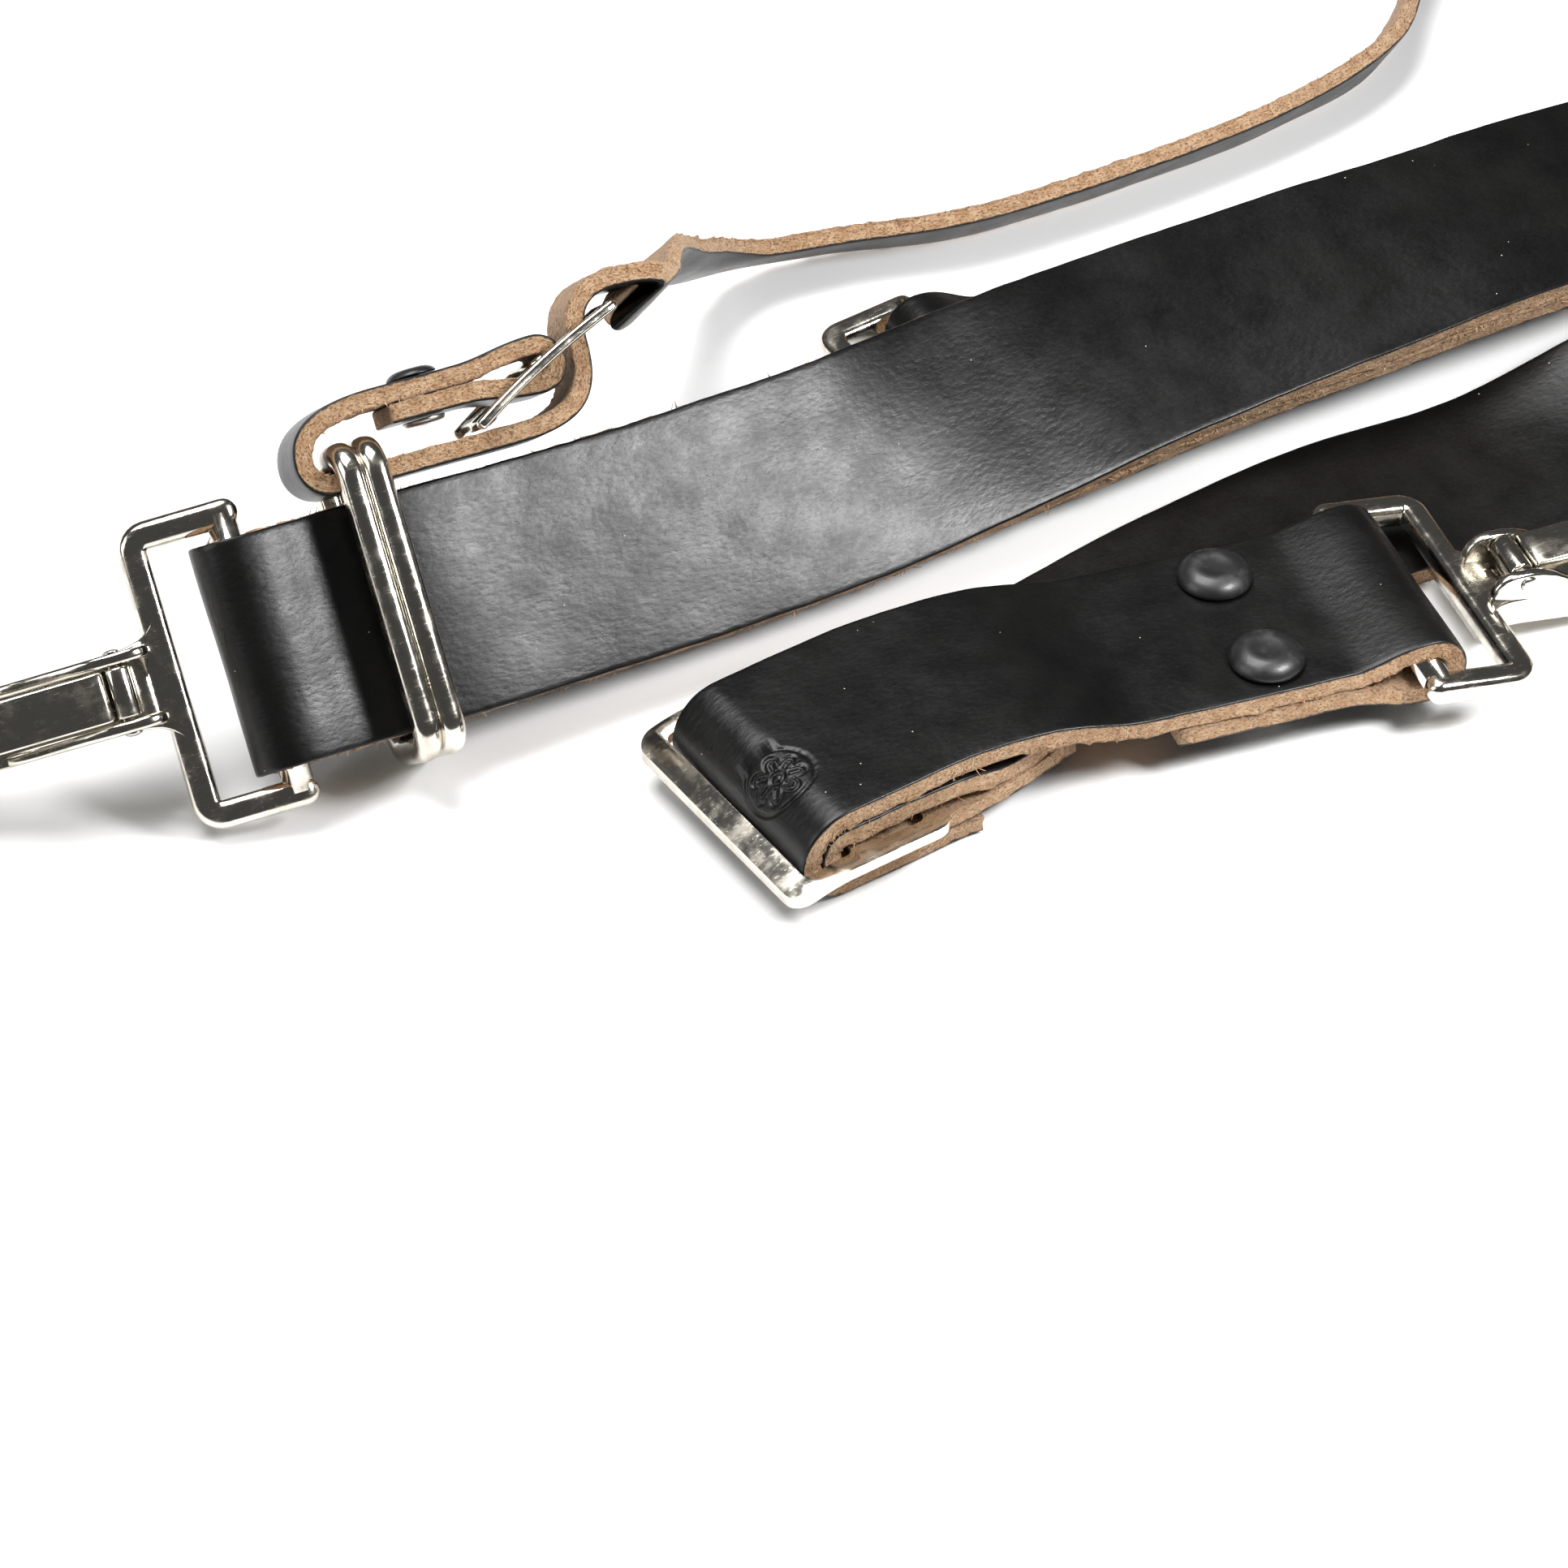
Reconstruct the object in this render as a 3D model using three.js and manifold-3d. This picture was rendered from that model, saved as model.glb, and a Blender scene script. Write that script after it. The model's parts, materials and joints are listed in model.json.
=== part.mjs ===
// Leather suspenders, laid out flat: two shoulder straps, a front tab, a folded back strap,
// a narrow cross strap and their nickel hardware.  Millimetres, +X along the straps, +Y across, +Z up.
// The origin is the middle of the footprint, on the surface the suspenders lie on.
import * as THREE from "three";
import Module from "manifold-3d";

const wasm = await Module();
wasm.setup();
const { Manifold, Mesh: SolidMesh } = wasm;

// ---- driving dimensions -------------------------------------------------------------------
const STRAP_WIDTH = 38;
const LEATHER = 3.5;
const CROSS_WIDTH = 12;
const CROSS_LEATHER = 3.2;
const GAP = 0.35; // clearance between neighbouring pieces
const FLOOR_GAP = 0.2;
const BEND_STEP = 2.1; // length of one facet in a bend
const RUN_STEP = 10; // length of one facet in a straight run

const BAR_RADIUS = 2.5; // eye bar of a hook
const EYE_CLEARANCE = 1.6; // strap edge to eye arm
const EYE_DEPTH = 15; // eye bar to the middle of the cross piece
const HOOK_LENGTH = 66; // eye bar to the tip of the hook
const HOOK_WIDTH = 13;
const HOOK_RISE = 17.5;

const SLIDE_THICKNESS = 2;
const SLIDE_BAR = 5; // centre bar of the wide slide
const SLIDE_EDGE_BAR = 4;
const RIB = 4.4; // one rib of a keeper
const KEEPER_PLAY = 6.4; // keeper height beyond two layers of leather
const KEEPER_SHIFT = 0.9; // keeper centre above the middle of the upper layer

const SNAP = { cap: 6.3, dome: 2.9, stem: 1.8, ring: 5, ringHeight: 1.9 };
const RIVET = { cap: 4.2, dome: 1.5, stem: 1.3, ring: 3.6, ringHeight: 1.1 };
const STEM_CLEARANCE = 0.3;
const RING_CLEARANCE = 0.06;

const YOKE_START = 362; // where the two shoulder straps run in under the patch
const YOKE_WIDE = 72; // length of the wide half of the patch
const YOKE_TAPER = 48;
const YOKE_PATCH = 3;
const YOKE_Y = 28;

// ---- levels that follow from them ---------------------------------------------------------
const LAYER = LEATHER + 0.3;
const FLOOR_LAYER = FLOOR_GAP + LEATHER / 2;
const FOLD_RADIUS = BAR_RADIUS + GAP + LEATHER / 2;
const YOKE_BACK = FLOOR_GAP + LEATHER + 1.6;
const YOKE_LEVEL = YOKE_BACK + YOKE_PATCH + 0.3 + LEATHER / 2;
const YOKE_FRONT = YOKE_LEVEL + LEATHER / 2 + 0.6;
const LOOP_RADIUS = SLIDE_THICKNESS / 2 + GAP + LEATHER / 2;
const OUTER_LOOP = LOOP_RADIUS + LAYER;
const SLIDE_LEVEL = FLOOR_LAYER + OUTER_LOOP;
const SLIDE_SLOT = OUTER_LOOP + LEATHER / 2 + GAP;
const TAB_LEVEL = FLOOR_GAP + LEATHER + GAP + FOLD_RADIUS + LEATHER / 2; // eye bar of the tab hook
const KEEPER_HEIGHT = 2 * LEATHER + KEEPER_PLAY;
const KEEPER_OPEN = STRAP_WIDTH + 1.6 + CROSS_LEATHER + 1.3;

// ---- layout: stations [x, y, z, lean in degrees] of the middle of each strap ---------------
const LEAN_LEFT = 48;
const nearEdge = (x, y, z, lean) => {
  const a = THREE.MathUtils.degToRad(lean);
  return [x, y + (STRAP_WIDTH / 2) * Math.cos(a), z + (STRAP_WIDTH / 2) * Math.sin(a), lean];
};
const HOLD = holdHeight(LEAN_LEFT);
const LEFT_STRAP = [
  nearEdge(-112, 33.6, HOLD, LEAN_LEFT),
  nearEdge(-96, 33.3, HOLD, LEAN_LEFT),
  nearEdge(-78, 32.6, HOLD, LEAN_LEFT),
  nearEdge(-60, 31.0, HOLD, LEAN_LEFT),
  nearEdge(-42, 29.4, HOLD, LEAN_LEFT),
  nearEdge(-20, 29.2, 9.2, 47),
  nearEdge(6, 28.7, 8.2, 46),
  nearEdge(36, 28.2, 8.4, 43),
  nearEdge(68, 28.6, 10.8, 34),
  nearEdge(100, 28.2, 14.2, 24),
  nearEdge(133, 27.2, 16.5, 18),
  nearEdge(170, 26.2, 18, 14),
  nearEdge(225, 26.5, 17, 9),
  nearEdge(290, 28, 14, 4),
  [YOKE_START - 22, YOKE_Y + STRAP_WIDTH / 2 + 0.7, YOKE_LEVEL + 1.2, 0],
  [YOKE_START, YOKE_Y + STRAP_WIDTH / 2 + 0.5, YOKE_LEVEL + 0.25, 0],
  [YOKE_START + 35, YOKE_Y + STRAP_WIDTH / 2 + 0.4, YOKE_LEVEL, 0],
  [YOKE_START + YOKE_WIDE, YOKE_Y + STRAP_WIDTH / 2 + 0.4, YOKE_LEVEL, 0],
];
const SLIDE_LINE = [
  [-40, -11.1, 0, 0],
  [-25, -10, 0, 0],
  [-10, -9, 0, 0],
  [5, -7.9, 0, 0],
  [20, -6.9, 0, 0],
];
const RIGHT_STRAP = [
  ...SLIDE_LINE,
  [48, 0, 0, 0],
  [84, 6, 0, 0],
  [118, 8.6, 0, 0],
  [148, 6.5, 0, 0],
  nearEdge(190, -14, 3.4 - FLOOR_LAYER, 14),
  nearEdge(232, -11, 7 - FLOOR_LAYER, 36),
  nearEdge(268, -6, HOLD - FLOOR_LAYER, LEAN_LEFT),
  nearEdge(292, -5.4, HOLD - FLOOR_LAYER, LEAN_LEFT),
  nearEdge(316, -6, HOLD - FLOOR_LAYER, 42),
  [YOKE_START - 18, YOKE_Y - STRAP_WIDTH / 2 - 1.2, YOKE_LEVEL + 3.2 - FLOOR_LAYER, 6],
  [YOKE_START, YOKE_Y - STRAP_WIDTH / 2 - 0.5, YOKE_LEVEL + 0.25 - FLOOR_LAYER, 0],
  [YOKE_START + 35, YOKE_Y - STRAP_WIDTH / 2 - 0.4, YOKE_LEVEL - FLOOR_LAYER, 0],
  [YOKE_START + YOKE_WIDE, YOKE_Y - STRAP_WIDTH / 2 - 0.4, YOKE_LEVEL - FLOOR_LAYER, 0],
];
const TAB = [...SLIDE_LINE, [45, -9.6, 0, 0], [70, -14.4, 0, 0], [92, -18.6, 0, 0], [114, -22.8, 0, 0]];
const BACK_STRAP = [
  [50, 67, SNAP.ringHeight, 0],
  [72, 67, SNAP.ringHeight, 0],
  [100, 67, SNAP.ringHeight, 0],
  [150, 66, SNAP.ringHeight * 0.6, 0],
  [215, 57, 0, 0],
  [300, 38, 0, 0],
  [YOKE_START + 35, YOKE_Y, 0, 0],
  [YOKE_START + YOKE_WIDE, YOKE_Y, 0, 0],
  [YOKE_START + 150, YOKE_Y, 0, 0],
];

// Height of a strap's near edge where a leaning keeper just clears the surface below it.
function holdHeight(lean) {
  const a = THREE.MathUtils.degToRad(lean);
  const keeperLow = (STRAP_WIDTH / 2 + 0.8 + RIB) * Math.sin(a);
  const keeperDeep = (LEATHER + KEEPER_PLAY / 2 + RIB - KEEPER_SHIFT) * Math.cos(a);
  return keeperLow + keeperDeep - (STRAP_WIDTH / 2) * Math.sin(a) + FLOOR_GAP;
}

// ---- a curve in space with a lean, and points named along and off it ------------------------
class Guide {
  constructor(stations) {
    this.curve = new THREE.CatmullRomCurve3(
      stations.map(([x, y, z]) => new THREE.Vector3(x, y, z)),
      false,
      "centripetal",
    );
    this.curve.arcLengthDivisions = 600;
    this.leans = stations.map((station) => station[3]);
    this.length = this.curve.getLength();
  }

  // Distance along the guide of the station with this index.
  stationAt(index) {
    const lengths = this.curve.getLengths();
    const exact = (index / (this.leans.length - 1)) * (lengths.length - 1);
    const low = Math.floor(exact);
    const high = Math.min(low + 1, lengths.length - 1);
    return THREE.MathUtils.lerp(lengths[low], lengths[high], exact - low);
  }

  leanAt(t) {
    const exact = t * (this.leans.length - 1);
    const low = Math.min(Math.floor(exact), this.leans.length - 2);
    const part = THREE.MathUtils.smoothstep(exact - low, 0, 1);
    return THREE.MathUtils.degToRad(THREE.MathUtils.lerp(this.leans[low], this.leans[low + 1], part));
  }

  frame(s) {
    const inside = THREE.MathUtils.clamp(s, 0, this.length);
    const t = this.curve.getUtoTmapping(inside / this.length);
    const along = this.curve.getTangent(t);
    const at = this.curve.getPoint(t).addScaledVector(along, s - inside);
    const level = new THREE.Vector3(0, 0, 1).cross(along).normalize();
    const across = level.clone().applyAxisAngle(along, this.leanAt(t));
    const off = along.clone().cross(across);
    return { at, along, across, off };
  }

  place(s, n, w = 0) {
    const { at, across, off } = this.frame(s);
    return at.addScaledVector(off, n).addScaledVector(across, w);
  }

  // Matrix that carries local X along the guide, Y across it and Z off it.
  matrix(s, n, w = 0) {
    const { along, across, off } = this.frame(s);
    return new THREE.Matrix4().makeBasis(along, across, off).setPosition(this.place(s, n, w));
  }
}

// ---- side profiles --------------------------------------------------------------------------
// Points and directions down the middle of a folded strap, from a path of lines, arcs and beziers.
function walk(path) {
  const steps = [];
  for (const curve of path.curves) {
    const longest = curve.isLineCurve ? RUN_STEP : BEND_STEP;
    const count = Math.max(1, Math.ceil(curve.getLength() / longest));
    for (let i = steps.length ? 1 : 0; i <= count; i += 1)
      steps.push({ point: curve.getPoint(i / count), heading: curve.getTangent(i / count) });
  }
  return steps;
}

// A closed strip of leather that follows a side profile along a guide.
function strip(guide, steps, width, thickness) {
  const box = new THREE.BoxGeometry(1, 1, 1, steps.length - 1, 1, 1);
  const position = box.getAttribute("position");
  for (let i = 0; i < position.count; i += 1) {
    const step = Math.round((position.getX(i) + 0.5) * (steps.length - 1));
    const { point, heading } = steps[step];
    const rise = position.getZ(i) * thickness;
    const s = point.x - heading.y * rise;
    const n = point.y + heading.x * rise;
    const { at, across, off } = guide.frame(point.x);
    const along = guide.frame(point.x).along;
    const moved = at
      .addScaledVector(along, s - point.x)
      .addScaledVector(off, n)
      .addScaledVector(across, position.getY(i) * width);
    position.setXYZ(i, moved.x, moved.y, moved.z);
  }
  return box;
}

// ---- solids ---------------------------------------------------------------------------------
function solid(geometry) {
  const flat = geometry.index ? geometry.toNonIndexed() : geometry;
  const source = flat.getAttribute("position");
  const corners = new Map();
  const vertices = [];
  const faces = [];
  for (let i = 0; i < source.count; i += 1) {
    const point = [source.getX(i), source.getY(i), source.getZ(i)];
    const key = point.map((value) => Math.round(value * 1e4)).join(",");
    if (!corners.has(key)) {
      corners.set(key, vertices.length / 3);
      vertices.push(...point);
    }
    faces.push(corners.get(key));
  }
  const kept = [];
  for (let i = 0; i < faces.length; i += 3) {
    const [a, b, c] = faces.slice(i, i + 3);
    if (a !== b && b !== c && c !== a) kept.push(a, b, c);
  }
  return new Manifold(
    new SolidMesh({
      numProp: 3,
      vertProperties: new Float32Array(vertices),
      triVerts: new Uint32Array(kept),
    }),
  );
}

function geometryOf(manifold) {
  const mesh = manifold.getMesh();
  const geometry = new THREE.BufferGeometry();
  const positions = new THREE.BufferAttribute(new Float32Array(mesh.vertProperties), 3);
  geometry.setAttribute("position", positions);
  geometry.setIndex(new THREE.BufferAttribute(new Uint32Array(mesh.triVerts), 1));
  geometry.computeVertexNormals();
  return geometry;
}

const union = (...geometries) => geometryOf(Manifold.union(geometries.map(solid)));
const subtract = (base, ...tools) =>
  geometryOf(tools.reduce((left, tool) => left.subtract(solid(tool)), solid(base)));

function extrude(shape, depth, curveSegments = 6) {
  return new THREE.ExtrudeGeometry(shape, { depth, curveSegments, bevelEnabled: false });
}

function roundedOutline(target, width, height, radius) {
  const [x, y] = [width / 2, height / 2];
  target.moveTo(-x + radius, -y);
  target.lineTo(x - radius, -y);
  target.absarc(x - radius, -y + radius, radius, -Math.PI / 2, 0);
  target.lineTo(x, y - radius);
  target.absarc(x - radius, y - radius, radius, 0, Math.PI / 2);
  target.lineTo(-x + radius, y);
  target.absarc(-x + radius, y - radius, radius, Math.PI / 2, Math.PI);
  target.lineTo(-x, -y + radius);
  target.absarc(-x + radius, -y + radius, radius, Math.PI, 1.5 * Math.PI);
  return target;
}

// ---- leather --------------------------------------------------------------------------------
// A fold round a bar at (s, n): out along the upper layer, round, and back along the lower one.
function foldLeft(path, s, n, radius, upper, lower, ease) {
  path.lineTo(s + ease, upper);
  path.bezierCurveTo(s + ease * 0.6, upper, s + ease * 0.4, n + radius, s, n + radius);
  path.absarc(s, n, radius, Math.PI / 2, 1.5 * Math.PI, false);
  path.bezierCurveTo(s + ease * 0.4, n - radius, s + ease * 0.6, lower, s + ease, lower);
  return path;
}

const HOOK_EASE = 15;

const leftGuide = new Guide(LEFT_STRAP);
const LEFT_FOLD = leftGuide.stationAt(1) + 26;
const LEFT_KEEPER = leftGuide.stationAt(3) + 12;
const LEFT_TAIL = leftGuide.stationAt(12) + 12;
function leftStrapPath() {
  const path = new THREE.Path();
  path.moveTo(leftGuide.length - 2, 0);
  foldLeft(path, LEFT_FOLD, -LAYER / 2, FOLD_RADIUS, 0, -LAYER, HOOK_EASE);
  path.lineTo(LEFT_TAIL, -LAYER);
  return path;
}

const rightGuide = new Guide(RIGHT_STRAP);
const SLIDE_AT = rightGuide.stationAt(2) + 7;
const LOOP_AT = SLIDE_AT - SLIDE_BAR / 2;
const RIGHT_KEEPER = rightGuide.stationAt(12);
const RIGHT_RIVETS = SLIDE_AT + 34;
const RIGHT_TAIL_LEVEL = SLIDE_LEVEL - LOOP_RADIUS;
function rightStrapPath() {
  const path = new THREE.Path();
  path.moveTo(rightGuide.length - 2, FLOOR_LAYER);
  path.lineTo(SLIDE_AT + 66, FLOOR_LAYER);
  const over = RIGHT_TAIL_LEVEL + LAYER;
  path.bezierCurveTo(SLIDE_AT + 54, FLOOR_LAYER, SLIDE_AT + 50, over, SLIDE_AT + 39, over);
  path.lineTo(SLIDE_AT + 28, over);
  const top = SLIDE_LEVEL + LOOP_RADIUS;
  path.bezierCurveTo(SLIDE_AT + 24, over, SLIDE_AT + 22, top, SLIDE_AT + 17, top);
  path.lineTo(LOOP_AT, top);
  path.absarc(LOOP_AT, SLIDE_LEVEL, LOOP_RADIUS, Math.PI / 2, 1.5 * Math.PI, false);
  path.lineTo(SLIDE_AT + 41, RIGHT_TAIL_LEVEL);
  return path;
}

const tabGuide = new Guide(TAB);
const TAB_FOLD = tabGuide.stationAt(2) + 7 + 107;
const TAB_SNAPS = TAB_FOLD - 26;
const TAB_TAIL = TAB_FOLD - 44;
function tabPath() {
  const path = new THREE.Path();
  const [upper, lower] = [TAB_LEVEL + LAYER / 2, TAB_LEVEL - LAYER / 2];
  path.moveTo(TAB_TAIL, lower);
  path.lineTo(TAB_FOLD - HOOK_EASE, lower);
  const round = HOOK_EASE * 0.6;
  path.bezierCurveTo(
    TAB_FOLD - round, lower, TAB_FOLD - HOOK_EASE * 0.4, TAB_LEVEL - FOLD_RADIUS,
    TAB_FOLD, TAB_LEVEL - FOLD_RADIUS,
  );
  path.absarc(TAB_FOLD, TAB_LEVEL, FOLD_RADIUS, -Math.PI / 2, Math.PI / 2, false);
  path.bezierCurveTo(
    TAB_FOLD - HOOK_EASE * 0.4, TAB_LEVEL + FOLD_RADIUS, TAB_FOLD - round, upper,
    TAB_FOLD - HOOK_EASE, upper,
  );
  path.lineTo(TAB_TAIL - 4, upper);
  const top = SLIDE_LEVEL + OUTER_LOOP;
  path.bezierCurveTo(TAB_TAIL - 14, upper, SLIDE_AT + 48, top, SLIDE_AT + 32, top);
  path.lineTo(LOOP_AT, top);
  path.absarc(LOOP_AT, SLIDE_LEVEL, OUTER_LOOP, Math.PI / 2, 1.5 * Math.PI, false);
  path.lineTo(SLIDE_AT + 26, FLOOR_LAYER);
  return path;
}

const backGuide = new Guide(BACK_STRAP);
const BACK_FOLD = backGuide.stationAt(1) + 4;
const BACK_LEVEL = FLOOR_GAP + LEATHER / 2 + FOLD_RADIUS;
const BACK_SNAPS = BACK_FOLD + 28;
const BACK_TAIL = BACK_FOLD + 64;
const BACK_TURN = backGuide.stationAt(7) + 58;
function backStrapPath() {
  const path = new THREE.Path();
  const [upper, lower] = [FLOOR_LAYER + LAYER, FLOOR_LAYER];
  path.moveTo(BACK_TAIL, upper);
  foldLeft(path, BACK_FOLD, BACK_LEVEL, FOLD_RADIUS, upper, lower, HOOK_EASE);
  path.lineTo(BACK_TURN, lower);
  const rise = (YOKE_LEVEL - lower) / 2;
  path.absarc(BACK_TURN, lower + rise, rise, -Math.PI / 2, Math.PI / 2, false);
  path.lineTo(backGuide.stationAt(7) + 1.5, YOKE_LEVEL);
  return path;
}

// Yoke patch: a wide part over the shoulder straps that narrows to the back strap.
function yokePatch(level) {
  const wide = 2 * STRAP_WIDTH + 8;
  const narrow = STRAP_WIDTH + 5;
  const [x0, x1, x2] = [YOKE_START, YOKE_START + YOKE_WIDE, YOKE_START + YOKE_WIDE + YOKE_TAPER];
  const shape = new THREE.Shape();
  shape.moveTo(x0 + 6, -wide / 2);
  shape.lineTo(x1 - 6, -wide / 2);
  shape.bezierCurveTo(x1 + 8, -wide / 2, x1 + 6, -narrow / 2, x2 - 10, -narrow / 2);
  shape.quadraticCurveTo(x2, -narrow / 2, x2, -narrow / 2 + 10);
  shape.lineTo(x2, narrow / 2 - 10);
  shape.quadraticCurveTo(x2, narrow / 2, x2 - 10, narrow / 2);
  shape.bezierCurveTo(x1 + 6, narrow / 2, x1 + 8, wide / 2, x1 - 6, wide / 2);
  shape.lineTo(x0 + 6, wide / 2);
  shape.quadraticCurveTo(x0, wide / 2, x0, wide / 2 - 6);
  shape.quadraticCurveTo(x0 + 12, 0, x0, -wide / 2 + 6);
  shape.quadraticCurveTo(x0, -wide / 2, x0 + 6, -wide / 2);
  return extrude(shape, YOKE_PATCH, 5).translate(0, YOKE_Y, level);
}

// ---- snaps and rivets -----------------------------------------------------------------------
// Local Z is up out of the leather; the cap sits on z = 0 and the ring closes the far side.
function fastenerCap(size, reach) {
  const r = size.cap;
  const profile = [
    [0, size.dome * 0.82],
    [r * 0.22, size.dome * 0.84],
    [r * 0.34, size.dome],
    [r * 0.62, size.dome * 0.93],
    [r * 0.86, size.dome * 0.66],
    [r, size.dome * 0.28],
    [r * 0.97, GAP / 2],
    [size.stem, GAP / 2],
    [size.stem, -reach],
    [0, -reach],
  ];
  const points = profile.map(([radius, z]) => new THREE.Vector2(radius, z)).reverse();
  return new THREE.LatheGeometry(points, 14).rotateX(Math.PI / 2);
}

function fastenerRing(size, depth) {
  const inner = size.stem + RING_CLEARANCE;
  const [low, high] = [-depth - size.ringHeight, -depth - GAP / 2];
  const points = [
    [inner, high],
    [inner, low],
    [size.ring * 0.8, low],
    [size.ring, low + size.ringHeight * 0.45],
    [size.ring, high],
    [inner, high],
  ].map(([radius, z]) => new THREE.Vector2(radius, z));
  return new THREE.LatheGeometry(points, 14).rotateX(Math.PI / 2);
}

function fastenerHole(size, depth) {
  const radius = size.stem + STEM_CLEARANCE;
  const tool = new THREE.CylinderGeometry(radius, radius, depth + 4, 14);
  return tool.rotateX(Math.PI / 2).translate(0, 0, -depth / 2);
}

// ---- hooks ----------------------------------------------------------------------------------
// Local X points away from the strap, Y runs along the eye bar, the bar's axis is the origin.
const EYE_INNER = STRAP_WIDTH / 2 + EYE_CLEARANCE;
const ARM = 5;
function hookSide() {
  const low = -3;
  const throat = EYE_DEPTH + 13;
  const shape = new THREE.Shape();
  shape.moveTo(EYE_DEPTH - 2, low);
  shape.lineTo(HOOK_LENGTH - 10, low);
  shape.bezierCurveTo(HOOK_LENGTH - 3, low, HOOK_LENGTH, low + 3, HOOK_LENGTH, low + 7);
  shape.bezierCurveTo(HOOK_LENGTH, low + 13, HOOK_LENGTH - 3, low + HOOK_RISE, HOOK_LENGTH - 8, low + HOOK_RISE);
  shape.lineTo(HOOK_LENGTH - 12, low + HOOK_RISE - 0.6);
  shape.lineTo(HOOK_LENGTH - 12, low + HOOK_RISE - 3.6);
  shape.bezierCurveTo(HOOK_LENGTH - 4, low + 13, HOOK_LENGTH - 4, low + 4.6, HOOK_LENGTH - 11, low + 4.4);
  shape.lineTo(throat + 4, low + 4.2);
  shape.bezierCurveTo(throat, low + 4.2, throat - 1, low + 5, throat - 3, low + 5.6);
  shape.lineTo(EYE_DEPTH + 3, low + 5.6);
  shape.quadraticCurveTo(EYE_DEPTH - 2, low + 5.6, EYE_DEPTH - 2, low + 2);
  return shape;
}

function box(x, y, z, [cx, cy, cz]) {
  return new THREE.BoxGeometry(x, y, z).translate(cx, cy, cz);
}

const TONGUE_PIN = { x: EYE_DEPTH + 7.5, z: 5.4, radius: 1.1 };
function hookBody() {
  const span = 2 * EYE_INNER + ARM;
  const bar = new THREE.CylinderGeometry(BAR_RADIUS, BAR_RADIUS, span, 20);
  const ends = [-1, 1].map((side) =>
    new THREE.SphereGeometry(3.2, 12, 8).translate(0, side * (EYE_INNER + ARM / 2), 0));
  const arms = [-1, 1].map((side) =>
    box(EYE_DEPTH, ARM, ARM - 0.4, [EYE_DEPTH / 2, side * (EYE_INNER + ARM / 2), 0]));
  const cross = box(ARM, span + ARM, ARM - 0.4, [EYE_DEPTH, 0, 0]);
  const neck = extrude(hookSide(), HOOK_WIDTH, 5).rotateX(Math.PI / 2).translate(0, HOOK_WIDTH / 2, 0);
  const walls = [-1, 1].map((side) =>
    box(11, 2, 5.6, [TONGUE_PIN.x, side * (HOOK_WIDTH / 2 - 1), 4.4]));
  const whole = union(bar, ...ends, ...arms, cross, neck, ...walls);
  const bore = new THREE.CylinderGeometry(TONGUE_PIN.radius + 0.03, TONGUE_PIN.radius + 0.03, HOOK_WIDTH + 2, 16);
  return subtract(whole, bore.translate(TONGUE_PIN.x, 0, TONGUE_PIN.z));
}

// Leaf tongue: rolled round its pin, arching forward to rest under the tip of the hook.
function hookTongue() {
  const [x0, z0] = [TONGUE_PIN.x, TONGUE_PIN.z];
  const tip = HOOK_LENGTH - 10;
  const under = -3 + HOOK_RISE - 3.6 - 0.8 - GAP;
  const shape = new THREE.Shape();
  shape.moveTo(x0, z0 - 2.2);
  shape.bezierCurveTo(x0 + 12, z0 + 0.2, tip - 20, under - 0.4, tip, under - 1.4);
  shape.lineTo(tip, under - 0.1);
  shape.bezierCurveTo(tip - 18, under + 1.3, x0 + 12, z0 + 2.6, x0, z0 + 2.2);
  shape.absarc(x0, z0, 2.2, Math.PI / 2, 1.5 * Math.PI, false);
  const leaf = extrude(shape, 8.2, 8).rotateX(Math.PI / 2).translate(0, 4.1, 0);
  const bore = new THREE.CylinderGeometry(TONGUE_PIN.radius + 0.05, TONGUE_PIN.radius + 0.05, 12, 16);
  return subtract(leaf, bore.translate(x0, 0, z0));
}

function tonguePin() {
  const pin = new THREE.CylinderGeometry(TONGUE_PIN.radius, TONGUE_PIN.radius, HOOK_WIDTH + 0.6, 16);
  return pin.translate(TONGUE_PIN.x, 0, TONGUE_PIN.z);
}

// ---- slides and keepers -----------------------------------------------------------------------
// A flat slide seen from above: X along the strap, two slots with a bar between them.
function slidePlate(length, width, bars, slots, bend) {
  const outline = roundedOutline(new THREE.Path(), length, width, 3.5).getSpacedPoints(56);
  const shape = new THREE.Shape(outline.slice(0, -1));
  const slotLength = slots.width;
  for (const [from, to] of slots.spans) {
    const hole = new THREE.Path();
    roundedOutline(hole, to - from, slotLength, 1.2);
    const points = hole.getSpacedPoints(40).slice(0, -1);
    points.forEach((point) => point.set(point.x + (from + to) / 2, point.y));
    shape.holes.push(new THREE.Path(points));
  }
  const plate = extrude(shape, bars, 1).translate(0, 0, -bars / 2);
  const position = plate.getAttribute("position");
  for (let i = 0; i < position.count; i += 1)
    position.setZ(i, position.getZ(i) + bend(position.getX(i)));
  return geometryOf(solid(plate));
}

function wideSlide() {
  const [c, e] = [SLIDE_BAR / 2, SLIDE_EDGE_BAR];
  const reach = c + SLIDE_SLOT;
  const spans = [[-reach, -c], [c, reach]];
  const dip = (x) => (x < -4 ? -2.6 * ((-x - 4) / 12) ** 2 : 0);
  const slots = { width: STRAP_WIDTH + 2.4, spans };
  return slidePlate(2 * (reach + e), STRAP_WIDTH + 9, SLIDE_THICKNESS, slots, dip);
}

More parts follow.
